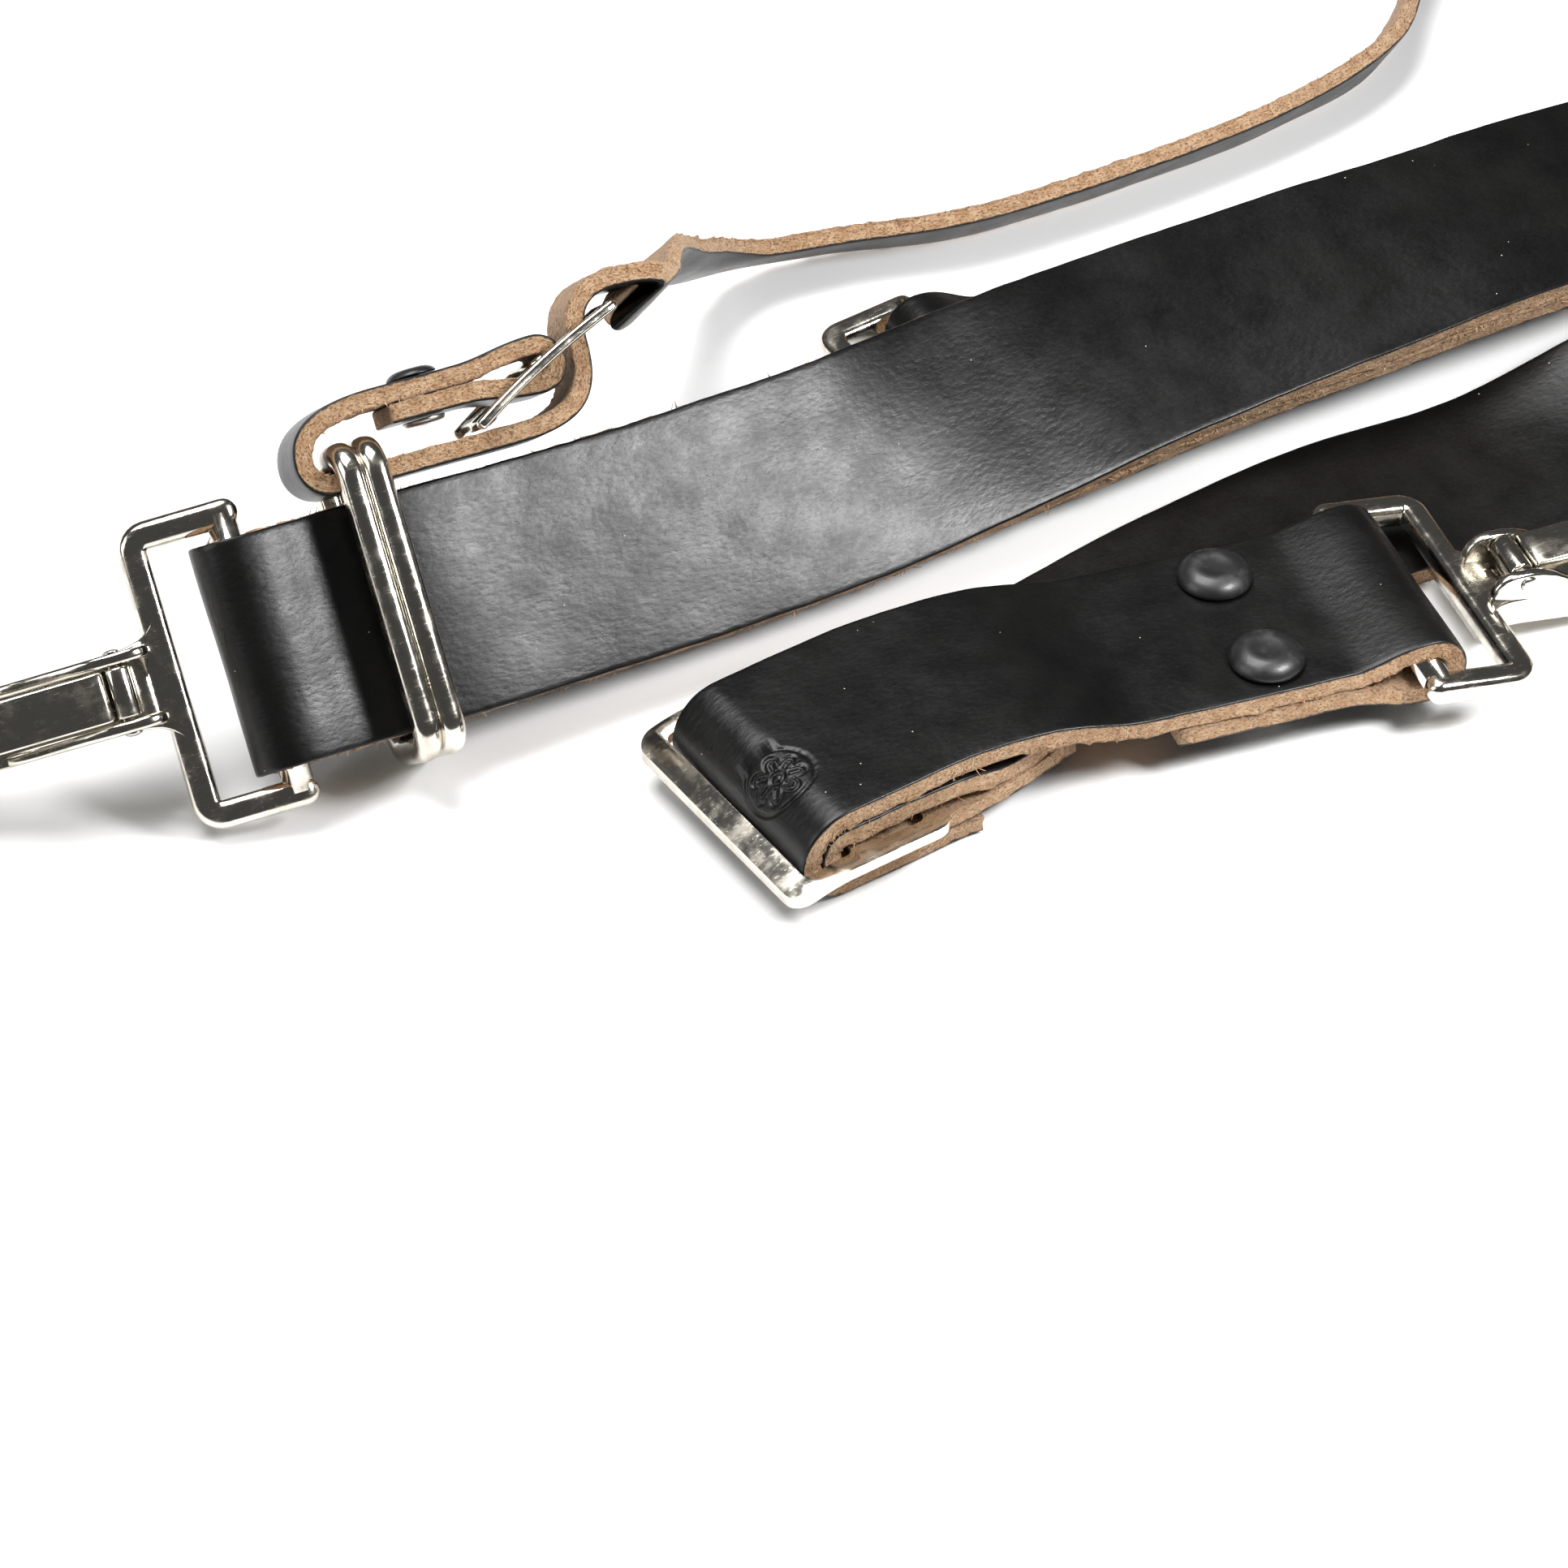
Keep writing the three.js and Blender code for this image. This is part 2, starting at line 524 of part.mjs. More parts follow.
// Small slide of the cross strap, tilted so that the long run passes up through its far slot.
const SMALL = { at: 34, level: -5.8, near: [23, 0.7], far: [46.5, -11], bar: 3 };
function smallSlide() {
  const path = new THREE.Path();
  const rail = CROSS_WIDTH / 2 + 0.6;
  path.moveTo(SMALL.near[0] - SMALL.bar / 2, SMALL.near[1] + 0.6);
  path.lineTo(SMALL.at, SMALL.level);
  path.lineTo(SMALL.far[0] + SMALL.bar / 2, SMALL.far[1] - 0.5);
  const guide = new Guide([[0, 0, 0, 0], [30, 0, 0, 0], [60, 0, 0, 0]]);
  const sides = [-1, 1].map((side) => {
    const rails = strip(guide, walk(path), 2.2, 1.8);
    return rails.translate(0, side * (rail + 1.1), 0);
  });
  const bars = [SMALL.near, [SMALL.at, SMALL.level], SMALL.far].map(([s, n]) =>
    box(SMALL.bar - 0.4, 2 * rail + 2, 1.8, [0, 0, 0]).rotateY(0.48).translate(s, 0, n));
  return union(...sides, ...bars);
}

// Keeper: two round-cornered ribs side by side round the strap.
function keeper() {
  const ribs = [-1, 1].map((side) => {
    const outer = roundedOutline(new THREE.Shape(), KEEPER_OPEN + 2 * RIB, KEEPER_HEIGHT + 2 * RIB, 6);
    outer.holes.push(roundedOutline(new THREE.Path(), KEEPER_OPEN, KEEPER_HEIGHT, 0.7));
    const ring = extrude(outer, RIB, 4).translate(0, 0, -RIB / 2);
    return ring.rotateY(Math.PI / 2).rotateX(Math.PI / 2).translate(side * (RIB / 2 - 0.1), 0, 0);
  });
  return union(...ribs);
}
const KEEPER_CENTRE = (KEEPER_OPEN - STRAP_WIDTH - 1.6) / 2;
const KEEPER_BAR = KEEPER_CENTRE + KEEPER_OPEN / 2 + RIB / 2;

// ---- cross strap ------------------------------------------------------------------------------
const [leftBar, rightBar] = [
  { guide: leftGuide, s: LEFT_KEEPER, n: -LAYER / 2 + KEEPER_SHIFT },
  { guide: rightGuide, s: RIGHT_KEEPER, n: FLOOR_LAYER - LAYER / 2 + KEEPER_SHIFT },
].map(({ guide, s, n }) => {
  const { along, across, off } = guide.frame(s);
  return { at: guide.place(s, n, KEEPER_BAR), along, across, off };
});

function crossStations() {
  const lean = 90 + LEAN_LEFT;
  const beside = ({ at, along }, distances) =>
    distances.map((d) => {
      const p = at.clone().addScaledVector(along, d);
      return [p.x, p.y, p.z, lean];
    });
  const run = [
    [26, 90, 36, 138],
    [42, 108, 20, 138],
    [58, 118, 9, 138],
    [76, 117, 6.4, 136],
    [100, 110, 6.2, 132],
    [134, 108, 6.2, 130],
    [170, 110, 6.2, 128],
    [198, 117, 6.4, 120],
    [219, 135, 6.8, 100],
    [238, 152, 7, 90],
    [258, 148, 7, 90],
    [264, 126, 8, 96],
    [252, 104, 15, 112],
    [236, 84, 29, 128],
    [231, 68, 40, 138],
  ];
  return [...beside(leftBar, [-22, 0, 20, 38, 54, 60]), ...run, ...beside(rightBar, [-60, -54, -38, -20, 0, 22])];
}
const crossGuide = new Guide(crossStations());
const CROSS_START = crossGuide.stationAt(1);
const CROSS_END = crossGuide.stationAt(crossGuide.leans.length - 2);

const BAR_LOOP = RIB / 2 + GAP + CROSS_LEATHER / 2;
const CROSS_LAYER = CROSS_LEATHER + 0.3;
const CROSS_RIVET = 14.5;
const SMALL_LOOP = 1.35 + GAP + CROSS_LEATHER / 2;

// One end of the cross strap: the tail, round the slide's middle bar, back round the keeper,
// then past the slide's near bar and up through its far slot into the long run.
function crossEnd(at, side) {
  const path = new THREE.Path();
  const p = (s, n) => [at + side * s, n];
  const tail = -BAR_LOOP;
  const outer = tail - CROSS_LAYER;
  const { level } = SMALL;
  const bend = RIB - 0.4;
  path.moveTo(...p(8, tail));
  path.lineTo(...p(20.5, tail));
  path.bezierCurveTo(...p(25.5, tail), ...p(28.5, level + SMALL_LOOP), ...p(SMALL.at, level + SMALL_LOOP));
  const [from, to] = side > 0 ? [Math.PI / 2, -Math.PI / 2] : [Math.PI / 2, 1.5 * Math.PI];
  path.absarc(p(SMALL.at, 0)[0], level, SMALL_LOOP, from, to, side > 0);
  path.bezierCurveTo(...p(28.5, level - SMALL_LOOP), ...p(25.5, outer), ...p(20.5, outer));
  path.lineTo(...p(7, outer));
  path.bezierCurveTo(...p(-2, outer), ...p(-bend - BAR_LOOP, -6), ...p(-bend - BAR_LOOP, 0));
  const [turn, done] = side > 0 ? [Math.PI, Math.PI / 2] : [0, Math.PI / 2];
  path.absarc(p(-bend, 0)[0], 0, BAR_LOOP, turn, done, side > 0);
  path.lineTo(...p(28, BAR_LOOP));
  path.bezierCurveTo(...p(37, BAR_LOOP), ...p(41.6, 2), ...p(41.6, -7));
  path.bezierCurveTo(...p(41.6, -13), ...p(44.5, -16), ...p(50, -16));
  path.bezierCurveTo(...p(68, -16), ...p(78, 0), ...p(100, 0));
  return path;
}

// Both ends in one run; the right end is walked backwards.
function crossSteps() {
  const left = walk(crossEnd(CROSS_START, 1));
  const right = walk(crossEnd(CROSS_END, -1)).reverse();
  for (const step of right) step.heading.negate();
  const between = new THREE.Path().moveTo(...left.at(-1).point.toArray());
  between.lineTo(...right[0].point.toArray());
  return [...left, ...walk(between).slice(1, -1), ...right];
}

// ---- finishes ---------------------------------------------------------------------------------
const finish = {
  black: { color: 0x161617, roughness: 0.45, metalness: 0 },
  nickel: { color: 0xc9cbcc, roughness: 0.22, metalness: 1 },
  steel: { color: 0x9fa1a3, roughness: 0.3, metalness: 1 },
  enamel: { color: 0x0c0c0d, roughness: 0.25, metalness: 0.3 },
};

const suspenders = new THREE.Group();
function add(name, geometry, look, matrix) {
  if (matrix) geometry.applyMatrix4(matrix);
  const mesh = new THREE.Mesh(geometry, new THREE.MeshStandardMaterial(finish[look]));
  mesh.name = name;
  suspenders.add(mesh);
  return mesh;
}

// ---- fasteners: where each one sits, and which layers it holds ----------------------------------
const fasteners = [];
function fastener(name, size, guide, s, w, top, depth, turned = false) {
  const matrix = guide.matrix(s, top, w);
  if (turned) matrix.multiply(new THREE.Matrix4().makeRotationX(Math.PI));
  fasteners.push({ name, size, matrix, depth });
}

const twoLayers = LAYER + LEATHER;
for (const [i, w] of [[1, 11], [2, -11]]) {
  fastener(`snap_tab_${i}`, SNAP, tabGuide, TAB_SNAPS, w, TAB_LEVEL + LAYER / 2 + LEATHER / 2, twoLayers);
  fastener(`snap_left_${i}`, SNAP, leftGuide, LEFT_TAIL - 14, w, LEATHER / 2, twoLayers);
  fastener(`snap_back_${i}`, SNAP, backGuide, BACK_SNAPS, w, FLOOR_LAYER + LAYER + LEATHER / 2, twoLayers);
  fastener(`rivet_loop_${i}`, RIVET, rightGuide, RIGHT_RIVETS, w, RIGHT_TAIL_LEVEL + LAYER + LEATHER / 2, twoLayers);
}
const crossTop = BAR_LOOP + CROSS_LAYER + CROSS_LEATHER / 2;
const crossDepth = CROSS_LAYER + CROSS_LEATHER;
fastener("rivet_cross_1", RIVET, crossGuide, CROSS_START + CROSS_RIVET, 0, -crossTop, crossDepth, true);
fastener("rivet_cross_2", RIVET, crossGuide, CROSS_END - CROSS_RIVET, 0, -crossTop, crossDepth, true);
const yokeDepth = YOKE_FRONT + YOKE_PATCH - YOKE_BACK;
const yokeFlat = new Guide([[0, 0, 0, 0], [YOKE_START, 0, 0, 0], [YOKE_START + 200, 0, 0, 0]]);
const yokeRivets = [
  [14, 31],
  [14, -31],
  [YOKE_WIDE - 10, 19],
  [YOKE_WIDE - 10, -19],
  [YOKE_WIDE + 26, 12],
  [YOKE_WIDE + 26, -12],
];
yokeRivets.forEach(([x, y], i) => {
  const at = YOKE_START + x;
  fastener(`rivet_yoke_${i + 1}`, RIVET, yokeFlat, at, YOKE_Y + y, YOKE_FRONT + YOKE_PATCH, yokeDepth);
});
const holesFor = (...prefixes) =>
  fasteners
    .filter(({ name }) => prefixes.some((prefix) => name.startsWith(prefix)))
    .map(({ size, matrix, depth }) => fastenerHole(size, depth).applyMatrix4(matrix));

// ---- straps and patches -------------------------------------------------------------------------
const wide = (guide, path) => strip(guide, walk(path), STRAP_WIDTH, LEATHER);
add("strap_left", subtract(wide(leftGuide, leftStrapPath()), ...holesFor("snap_left", "rivet_yoke")), "black");
add("strap_right", subtract(wide(rightGuide, rightStrapPath()), ...holesFor("rivet_loop", "rivet_yoke")), "black");
add("strap_tab", subtract(wide(tabGuide, tabPath()), ...holesFor("snap_tab")), "black");
add("strap_back", subtract(wide(backGuide, backStrapPath()), ...holesFor("snap_back", "rivet_yoke_5", "rivet_yoke_6")), "black");
const cross = strip(crossGuide, crossSteps(), CROSS_WIDTH, CROSS_LEATHER);
add("strap_cross", subtract(cross, ...holesFor("rivet_cross")), "black");
add("yoke_back", subtract(yokePatch(YOKE_BACK), ...holesFor("rivet_yoke")), "black");
add("yoke_front", subtract(yokePatch(YOKE_FRONT), ...holesFor("rivet_yoke")), "black");

for (const { name, size, matrix, depth } of fasteners) {
  add(`${name}_cap`, fastenerCap(size, depth + size.ringHeight * 0.8), "enamel", matrix);
  add(`${name}_ring`, fastenerRing(size, depth), "steel", matrix);
}

// ---- hardware -----------------------------------------------------------------------------------
const turnedBack = new THREE.Matrix4().makeRotationZ(Math.PI);
function addHook(name, matrix, pitch) {
  const placed = matrix.clone().multiply(new THREE.Matrix4().makeRotationY(pitch));
  add(`${name}_body`, hookBody(), "nickel", placed);
  add(`${name}_tongue`, hookTongue(), "nickel", placed);
  add(`${name}_pin`, tonguePin(), "steel", placed);
}
addHook("hook_left", leftGuide.matrix(LEFT_FOLD, -LAYER / 2).multiply(turnedBack), 0.27);
addHook("hook_tab", tabGuide.matrix(TAB_FOLD, TAB_LEVEL), 0.12);
addHook("hook_back", backGuide.matrix(BACK_FOLD, BACK_LEVEL).multiply(turnedBack), 0.08);

add("slide_wide", wideSlide(), "nickel", rightGuide.matrix(SLIDE_AT, SLIDE_LEVEL));
const keeperOff = KEEPER_SHIFT - LAYER / 2;
add("keeper_left", keeper(), "nickel", leftGuide.matrix(LEFT_KEEPER, keeperOff, KEEPER_CENTRE));
add("keeper_right", keeper(), "nickel", rightGuide.matrix(RIGHT_KEEPER, FLOOR_LAYER + keeperOff, KEEPER_CENTRE));
add("slide_small_left", smallSlide(), "nickel", crossGuide.matrix(CROSS_START, 0));
const mirrored = geometryOf(solid(smallSlide()).mirror([1, 0, 0]));
add("slide_small_right", mirrored, "nickel", crossGuide.matrix(CROSS_END, 0));

const bounds = new THREE.Box3().setFromObject(suspenders);
const middle = bounds.getCenter(new THREE.Vector3());
for (const mesh of suspenders.children) mesh.geometry.translate(-middle.x, -middle.y, -bounds.min.z);

export default suspenders;
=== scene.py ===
"""Leather suspenders: the visible model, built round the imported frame."""

import json
import logging
import math
from dataclasses import dataclass, field
from enum import Enum
from random import Random

import bmesh
import bpy
from mathutils import Matrix, Vector, noise

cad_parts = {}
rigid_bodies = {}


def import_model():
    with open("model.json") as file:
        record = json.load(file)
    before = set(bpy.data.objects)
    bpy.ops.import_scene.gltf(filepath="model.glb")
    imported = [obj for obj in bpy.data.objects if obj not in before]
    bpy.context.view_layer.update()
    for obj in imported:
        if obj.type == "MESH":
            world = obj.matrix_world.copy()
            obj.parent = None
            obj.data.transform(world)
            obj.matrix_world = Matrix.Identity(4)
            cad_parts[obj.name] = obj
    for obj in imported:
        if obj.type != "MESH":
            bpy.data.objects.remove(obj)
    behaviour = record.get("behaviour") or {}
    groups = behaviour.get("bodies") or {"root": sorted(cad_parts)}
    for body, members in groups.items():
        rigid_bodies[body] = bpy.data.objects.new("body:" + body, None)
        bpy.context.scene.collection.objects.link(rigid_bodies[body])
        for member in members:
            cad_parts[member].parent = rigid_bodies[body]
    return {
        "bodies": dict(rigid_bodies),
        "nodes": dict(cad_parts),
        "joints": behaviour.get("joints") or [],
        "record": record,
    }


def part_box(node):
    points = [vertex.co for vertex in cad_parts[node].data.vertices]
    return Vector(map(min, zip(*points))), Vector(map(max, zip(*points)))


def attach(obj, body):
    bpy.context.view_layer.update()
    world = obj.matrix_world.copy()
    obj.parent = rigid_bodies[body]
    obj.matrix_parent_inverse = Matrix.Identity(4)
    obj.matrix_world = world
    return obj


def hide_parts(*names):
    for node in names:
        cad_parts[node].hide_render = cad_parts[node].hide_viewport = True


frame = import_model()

LOG = logging.getLogger("suspenders")
MM = 0.001
TAU = 2.0 * math.pi
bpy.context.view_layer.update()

# ---- sizes, in millimetres, as the solids have them --------------------------------------------
STRAP_WIDTH = 38.0
LEATHER = 3.5
CROSS_WIDTH = 12.0
CROSS_LEATHER = 3.2
GAP = 0.35
FLOOR_GAP = 0.2
BAR_RADIUS = 2.5
EYE_CLEARANCE = 1.6
EYE_DEPTH = 15.0
HOOK_LENGTH = 66.0
HOOK_WIDTH = 13.0
HOOK_RISE = 17.5
SLIDE_THICKNESS = 2.0
SLIDE_BAR = 5.0
SLIDE_EDGE_BAR = 4.0
RIB = 4.4
KEEPER_PLAY = 6.4
KEEPER_SHIFT = 0.9
SNAP_RING = 1.9
YOKE_START = 362.0
YOKE_WIDE = 72.0
YOKE_TAPER = 48.0
YOKE_PATCH = 3.0
YOKE_Y = 28.0
LAYER_PLAY = 0.3  # between two layers of leather
YOKE_PLAY = 0.6  # over the shoulder straps, below the front patch
BACK_RISE = 1.6  # between the back strap and the back patch
KEEPER_SIDE = 1.6  # keeper opening beyond the strap and the cross strap
KEEPER_EASE = 1.3
SHARP = 1.2  # angle in radians past which an edge is rounded
LAYER = LEATHER + LAYER_PLAY
FLOOR_LAYER = FLOOR_GAP + LEATHER / 2
FOLD_RADIUS = BAR_RADIUS + GAP + LEATHER / 2
YOKE_BACK = FLOOR_GAP + LEATHER + BACK_RISE
YOKE_LEVEL = YOKE_BACK + YOKE_PATCH + LAYER_PLAY + LEATHER / 2
YOKE_FRONT = YOKE_LEVEL + LEATHER / 2 + YOKE_PLAY
LOOP_RADIUS = SLIDE_THICKNESS / 2 + GAP + LEATHER / 2
OUTER_LOOP = LOOP_RADIUS + LAYER
SLIDE_LEVEL = FLOOR_LAYER + OUTER_LOOP
SLIDE_SLOT = OUTER_LOOP + LEATHER / 2 + GAP
TAB_LEVEL = FLOOR_GAP + LEATHER + GAP + FOLD_RADIUS + LEATHER / 2
KEEPER_HEIGHT = 2 * LEATHER + KEEPER_PLAY
KEEPER_OPEN = STRAP_WIDTH + KEEPER_SIDE + CROSS_LEATHER + KEEPER_EASE
LEAN = 48.0
HOOK_EASE = 15.0

Station = tuple[float, float, float, float]


def hold_height(lean: float) -> float:
    """Height of a strap's near edge where a leaning keeper clears the floor.

    Args:
        lean: Lean of the strap in degrees.

    Returns:
        The height in millimetres.
    """
    a = math.radians(lean)
    low = (STRAP_WIDTH / 2 + 0.8 + RIB) * math.sin(a)
    deep = (LEATHER + KEEPER_PLAY / 2 + RIB - KEEPER_SHIFT) * math.cos(a)
    return low + deep - (STRAP_WIDTH / 2) * math.sin(a) + FLOOR_GAP


def near_edge(x: float, y: float, z: float, lean: float) -> Station:
    """A station of a wide strap's middle, from the place of its near edge.

    Args:
        x: Position along the part.
        y: Position of the near edge across the part.
        z: Height of the near edge.
        lean: Lean in degrees.

    Returns:
        The station of the strap's middle.
    """
    a = math.radians(lean)
    half = STRAP_WIDTH / 2
    return (x, y + half * math.cos(a), z + half * math.sin(a), lean)


class Guide:
    """A smooth curve with a lean, and places named along and off it."""

    DIVISIONS = 600

    def __init__(self, stations: list[Station]) -> None:
        """Keeps the stations and measures the curve.

        Args:
            stations: Places (x, y, z) and lean in degrees.
        """
        self.points = [Vector(s[:3]) for s in stations]
        self.leans = [s[3] for s in stations]
        self.lengths = [0.0]
        last = self.point(0.0)
        for i in range(1, self.DIVISIONS + 1):
            here = self.point(i / self.DIVISIONS)
            self.lengths.append(self.lengths[-1] + (here - last).length)
            last = here
        self.length = self.lengths[-1]

    def point(self, t: float) -> Vector:
        """The centripetal spline's point at parameter t.

        Args:
            t: Parameter from 0 to 1.

        Returns:
            The point.
        """
        points = self.points
        exact = (len(points) - 1) * min(max(t, 0.0), 1.0)
        i = min(int(exact), len(points) - 2)
        w = exact - i
        p1, p2 = points[i], points[i + 1]
        p0 = points[i - 1] if i > 0 else 2 * points[0] - points[1]
        p3 = points[i + 2] if i + 2 < len(points) else 2 * points[-1] - points[-2]
        d0, d1, d2 = ((b - a).length ** 0.5 for a, b in ((p0, p1), (p1, p2), (p2, p3)))
        t1 = ((p1 - p0) / d0 - (p2 - p0) / (d0 + d1) + (p2 - p1) / d1) * d1
        t2 = ((p2 - p1) / d1 - (p3 - p1) / (d1 + d2) + (p3 - p2) / d2) * d1
        square = -3 * p1 + 3 * p2 - 2 * t1 - t2
        cube = 2 * p1 - 2 * p2 + t1 + t2
        return p1 + t1 * w + square * (w * w) + cube * (w * w * w)

    def station_at(self, index: int) -> float:
        """Distance along the guide of the station with this index.

        Args:
            index: Number of the station, from 0.

        Returns:
            The distance.
        """
        exact = index / (len(self.points) - 1) * self.DIVISIONS
        low = int(exact)
        high = min(low + 1, self.DIVISIONS)
        return self.lengths[low] + (self.lengths[high] - self.lengths[low]) * (exact - low)

    def parameter(self, s: float) -> float:
        """Spline parameter at a distance along the guide.

        Args:
            s: Distance in millimetres.

        Returns:
            The parameter from 0 to 1.
        """
        low, high = 0, self.DIVISIONS
        while high - low > 1:
            mid = (low + high) // 2
            if self.lengths[mid] <= s:
                low = mid
            else:
                high = mid
        span = self.lengths[high] - self.lengths[low]
        part = (s - self.lengths[low]) / span if span else 0.0
        return (low + part) / self.DIVISIONS

    def lean_at(self, t: float) -> float:
        """Lean in radians at spline parameter t.

        Args:
            t: Part of the way along the curve, from 0 to 1.

        Returns:
            The lean in radians.
        """
        exact = t * (len(self.leans) - 1)
        low = min(int(exact), len(self.leans) - 2)
        x = min(max(exact - low, 0.0), 1.0)
        x = x * x * (3 - 2 * x)
        return math.radians(self.leans[low] + (self.leans[low + 1] - self.leans[low]) * x)

    def matrix(self, s: float, n: float = 0.0, w: float = 0.0) -> Matrix:
        """Frame with X along the guide, Y across it and Z off it.

        Args:
            s: Distance along the guide.
            n: Distance off it.
            w: Distance across it.

        Returns:
            The frame in millimetres.
        """
        inside = min(max(s, 0.0), self.length)
        t = self.parameter(inside)
        along = (self.point(t + 1e-4) - self.point(t - 1e-4)).normalized()
        level = Vector((0, 0, 1)).cross(along).normalized()
        across = Matrix.Rotation(self.lean_at(t), 3, along) @ level
        off = along.cross(across)
        at = self.point(t) + along * (s - inside) + off * n + across * w
        made = Matrix((along, across, off)).transposed().to_4x4()
        made.translation = at
        return made


@dataclass
class Step:
    """One place on a strap's side profile, with its heading and its length so far."""

    s: float
    n: float
    ds: float
    dn: float
    run: float = 0.0


class Profile:
    """A side profile of lines, arcs and curves, sampled finely as it is drawn."""

    def __init__(self, s: float, n: float, bend: float = 0.7, straight: float = 2.6) -> None:
        """Starts the profile.

        Args:
            s: First place along the guide.
            n: First place off it.
            bend: Length of a facet in a bend.
            straight: Length of a facet in a straight run.
        """
        self.here = (s, n)
        self.bend = bend
        self.straight = straight
        self.steps: list[Step] = []

    def add_step(self, s: float, n: float, ds: float, dn: float) -> None:
        """Adds a step, unless it stands on the last one.

        Args:
            s: Distance along the guide.
            n: Distance off the guide.
            ds: Heading along the guide.
            dn: Heading off the guide.
        """
        size = math.hypot(ds, dn) or 1.0
        run = 0.0
        if self.steps:
            last = self.steps[-1]
            gone = math.hypot(s - last.s, n - last.n)
            if gone < 1e-3:
                return
            run = last.run + gone
        self.steps.append(Step(s, n, ds / size, dn / size, run))

    def line(self, s: float, n: float) -> None:
        """Draws a straight run to (s, n).

        Args:
            s: Distance along the guide.
            n: Distance off the guide.
        """
        s0, n0 = self.here
        count = max(1, math.ceil(math.hypot(s - s0, n - n0) / self.straight))
        for i in range(count + 1):
            k = i / count
            self.add_step(s0 + (s - s0) * k, n0 + (n - n0) * k, s - s0, n - n0)
        self.here = (s, n)

    def arc(self, s: float, n: float, radius: float, start: float, end: float) -> None:
        """Draws an arc round (s, n).

        Args:
            s: Centre along the guide.
            n: Centre off it.
            radius: Radius.
            start: First angle in radians.
            end: Last angle in radians.
        """
        count = max(4, math.ceil(abs(end - start) * radius / self.bend))
        turn = 1.0 if end > start else -1.0
        for i in range(count + 1):
            a = start + (end - start) * i / count
            self.add_step(s + radius * math.cos(a), n + radius * math.sin(a),
                      -math.sin(a) * turn, math.cos(a) * turn)
        self.here = (s + radius * math.cos(end), n + radius * math.sin(end))

    def curve(self, *handles: float) -> None:
        """Draws a cubic curve; handles are the two control points and the end."""
        p0 = Vector(self.here)
        p1, p2, p3 = (Vector(handles[i:i + 2]) for i in (0, 2, 4))
        size = (p1 - p0).length + (p2 - p1).length + (p3 - p2).length
        count = max(4, math.ceil(size / (self.bend * 1.6)))
        for i in range(count + 1):
            t = i / count
            u = 1 - t
            at = p0 * u ** 3 + p1 * (3 * u * u * t) + p2 * (3 * u * t * t) + p3 * t ** 3
            go = (p1 - p0) * (u * u) + (p2 - p1) * (2 * u * t) + (p3 - p2) * (t * t)
            self.add_step(at.x, at.y, go.x, go.y)
        self.here = (p3.x, p3.y)

    def fold_left(self, s: float, n: float, radius: float, upper: float, lower: float) -> None:
        """Draws a fold round a bar: in along the upper layer, out along the lower one.

        Args:
            s: Bar's place along the guide.
            n: Bar's place off it.
            radius: Radius of the leather's middle round the bar.
            upper: Level of the upper layer.
            lower: Level of the lower layer.
        """
        ease = HOOK_EASE
        self.line(s + ease, upper)
        self.curve(s + ease * 0.6, upper, s + ease * 0.4, n + radius, s, n + radius)
        self.arc(s, n, radius, math.pi / 2, 1.5 * math.pi)
        self.curve(s + ease * 0.4, n - radius, s + ease * 0.6, lower, s + ease, lower)


def reversed_steps(steps: list[Step]) -> list[Step]:
    """The same steps walked the other way."""
    total = steps[-1].run
    return [Step(p.s, p.n, -p.ds, -p.dn, total - p.run) for p in reversed(steps)]


# ---- layout of the straps' middles, as the solids have it ----------------------------------------
HOLD = hold_height(LEAN)
LEFT = Guide([
    near_edge(-112, 33.6, HOLD, LEAN),
    near_edge(-96, 33.3, HOLD, LEAN),
    near_edge(-78, 32.6, HOLD, LEAN),
    near_edge(-60, 31.0, HOLD, LEAN),
    near_edge(-42, 29.4, HOLD, LEAN),
    near_edge(-20, 29.2, 9.2, 47),
    near_edge(6, 28.7, 8.2, 46),
    near_edge(36, 28.2, 8.4, 43),
    near_edge(68, 28.6, 10.8, 34),
    near_edge(100, 28.2, 14.2, 24),
    near_edge(133, 27.2, 16.5, 18),
    near_edge(170, 26.2, 18, 14),
    near_edge(225, 26.5, 17, 9),
    near_edge(290, 28, 14, 4),
    (YOKE_START - 22, YOKE_Y + STRAP_WIDTH / 2 + 0.7, YOKE_LEVEL + 1.2, 0),
    (YOKE_START, YOKE_Y + STRAP_WIDTH / 2 + 0.5, YOKE_LEVEL + 0.25, 0),
    (YOKE_START + 35, YOKE_Y + STRAP_WIDTH / 2 + 0.4, YOKE_LEVEL, 0),
    (YOKE_START + YOKE_WIDE, YOKE_Y + STRAP_WIDTH / 2 + 0.4, YOKE_LEVEL, 0),
])
SLIDE_LINE: list[Station] = [
    (-40, -11.1, 0, 0), (-25, -10, 0, 0), (-10, -9, 0, 0), (5, -7.9, 0, 0), (20, -6.9, 0, 0),
]
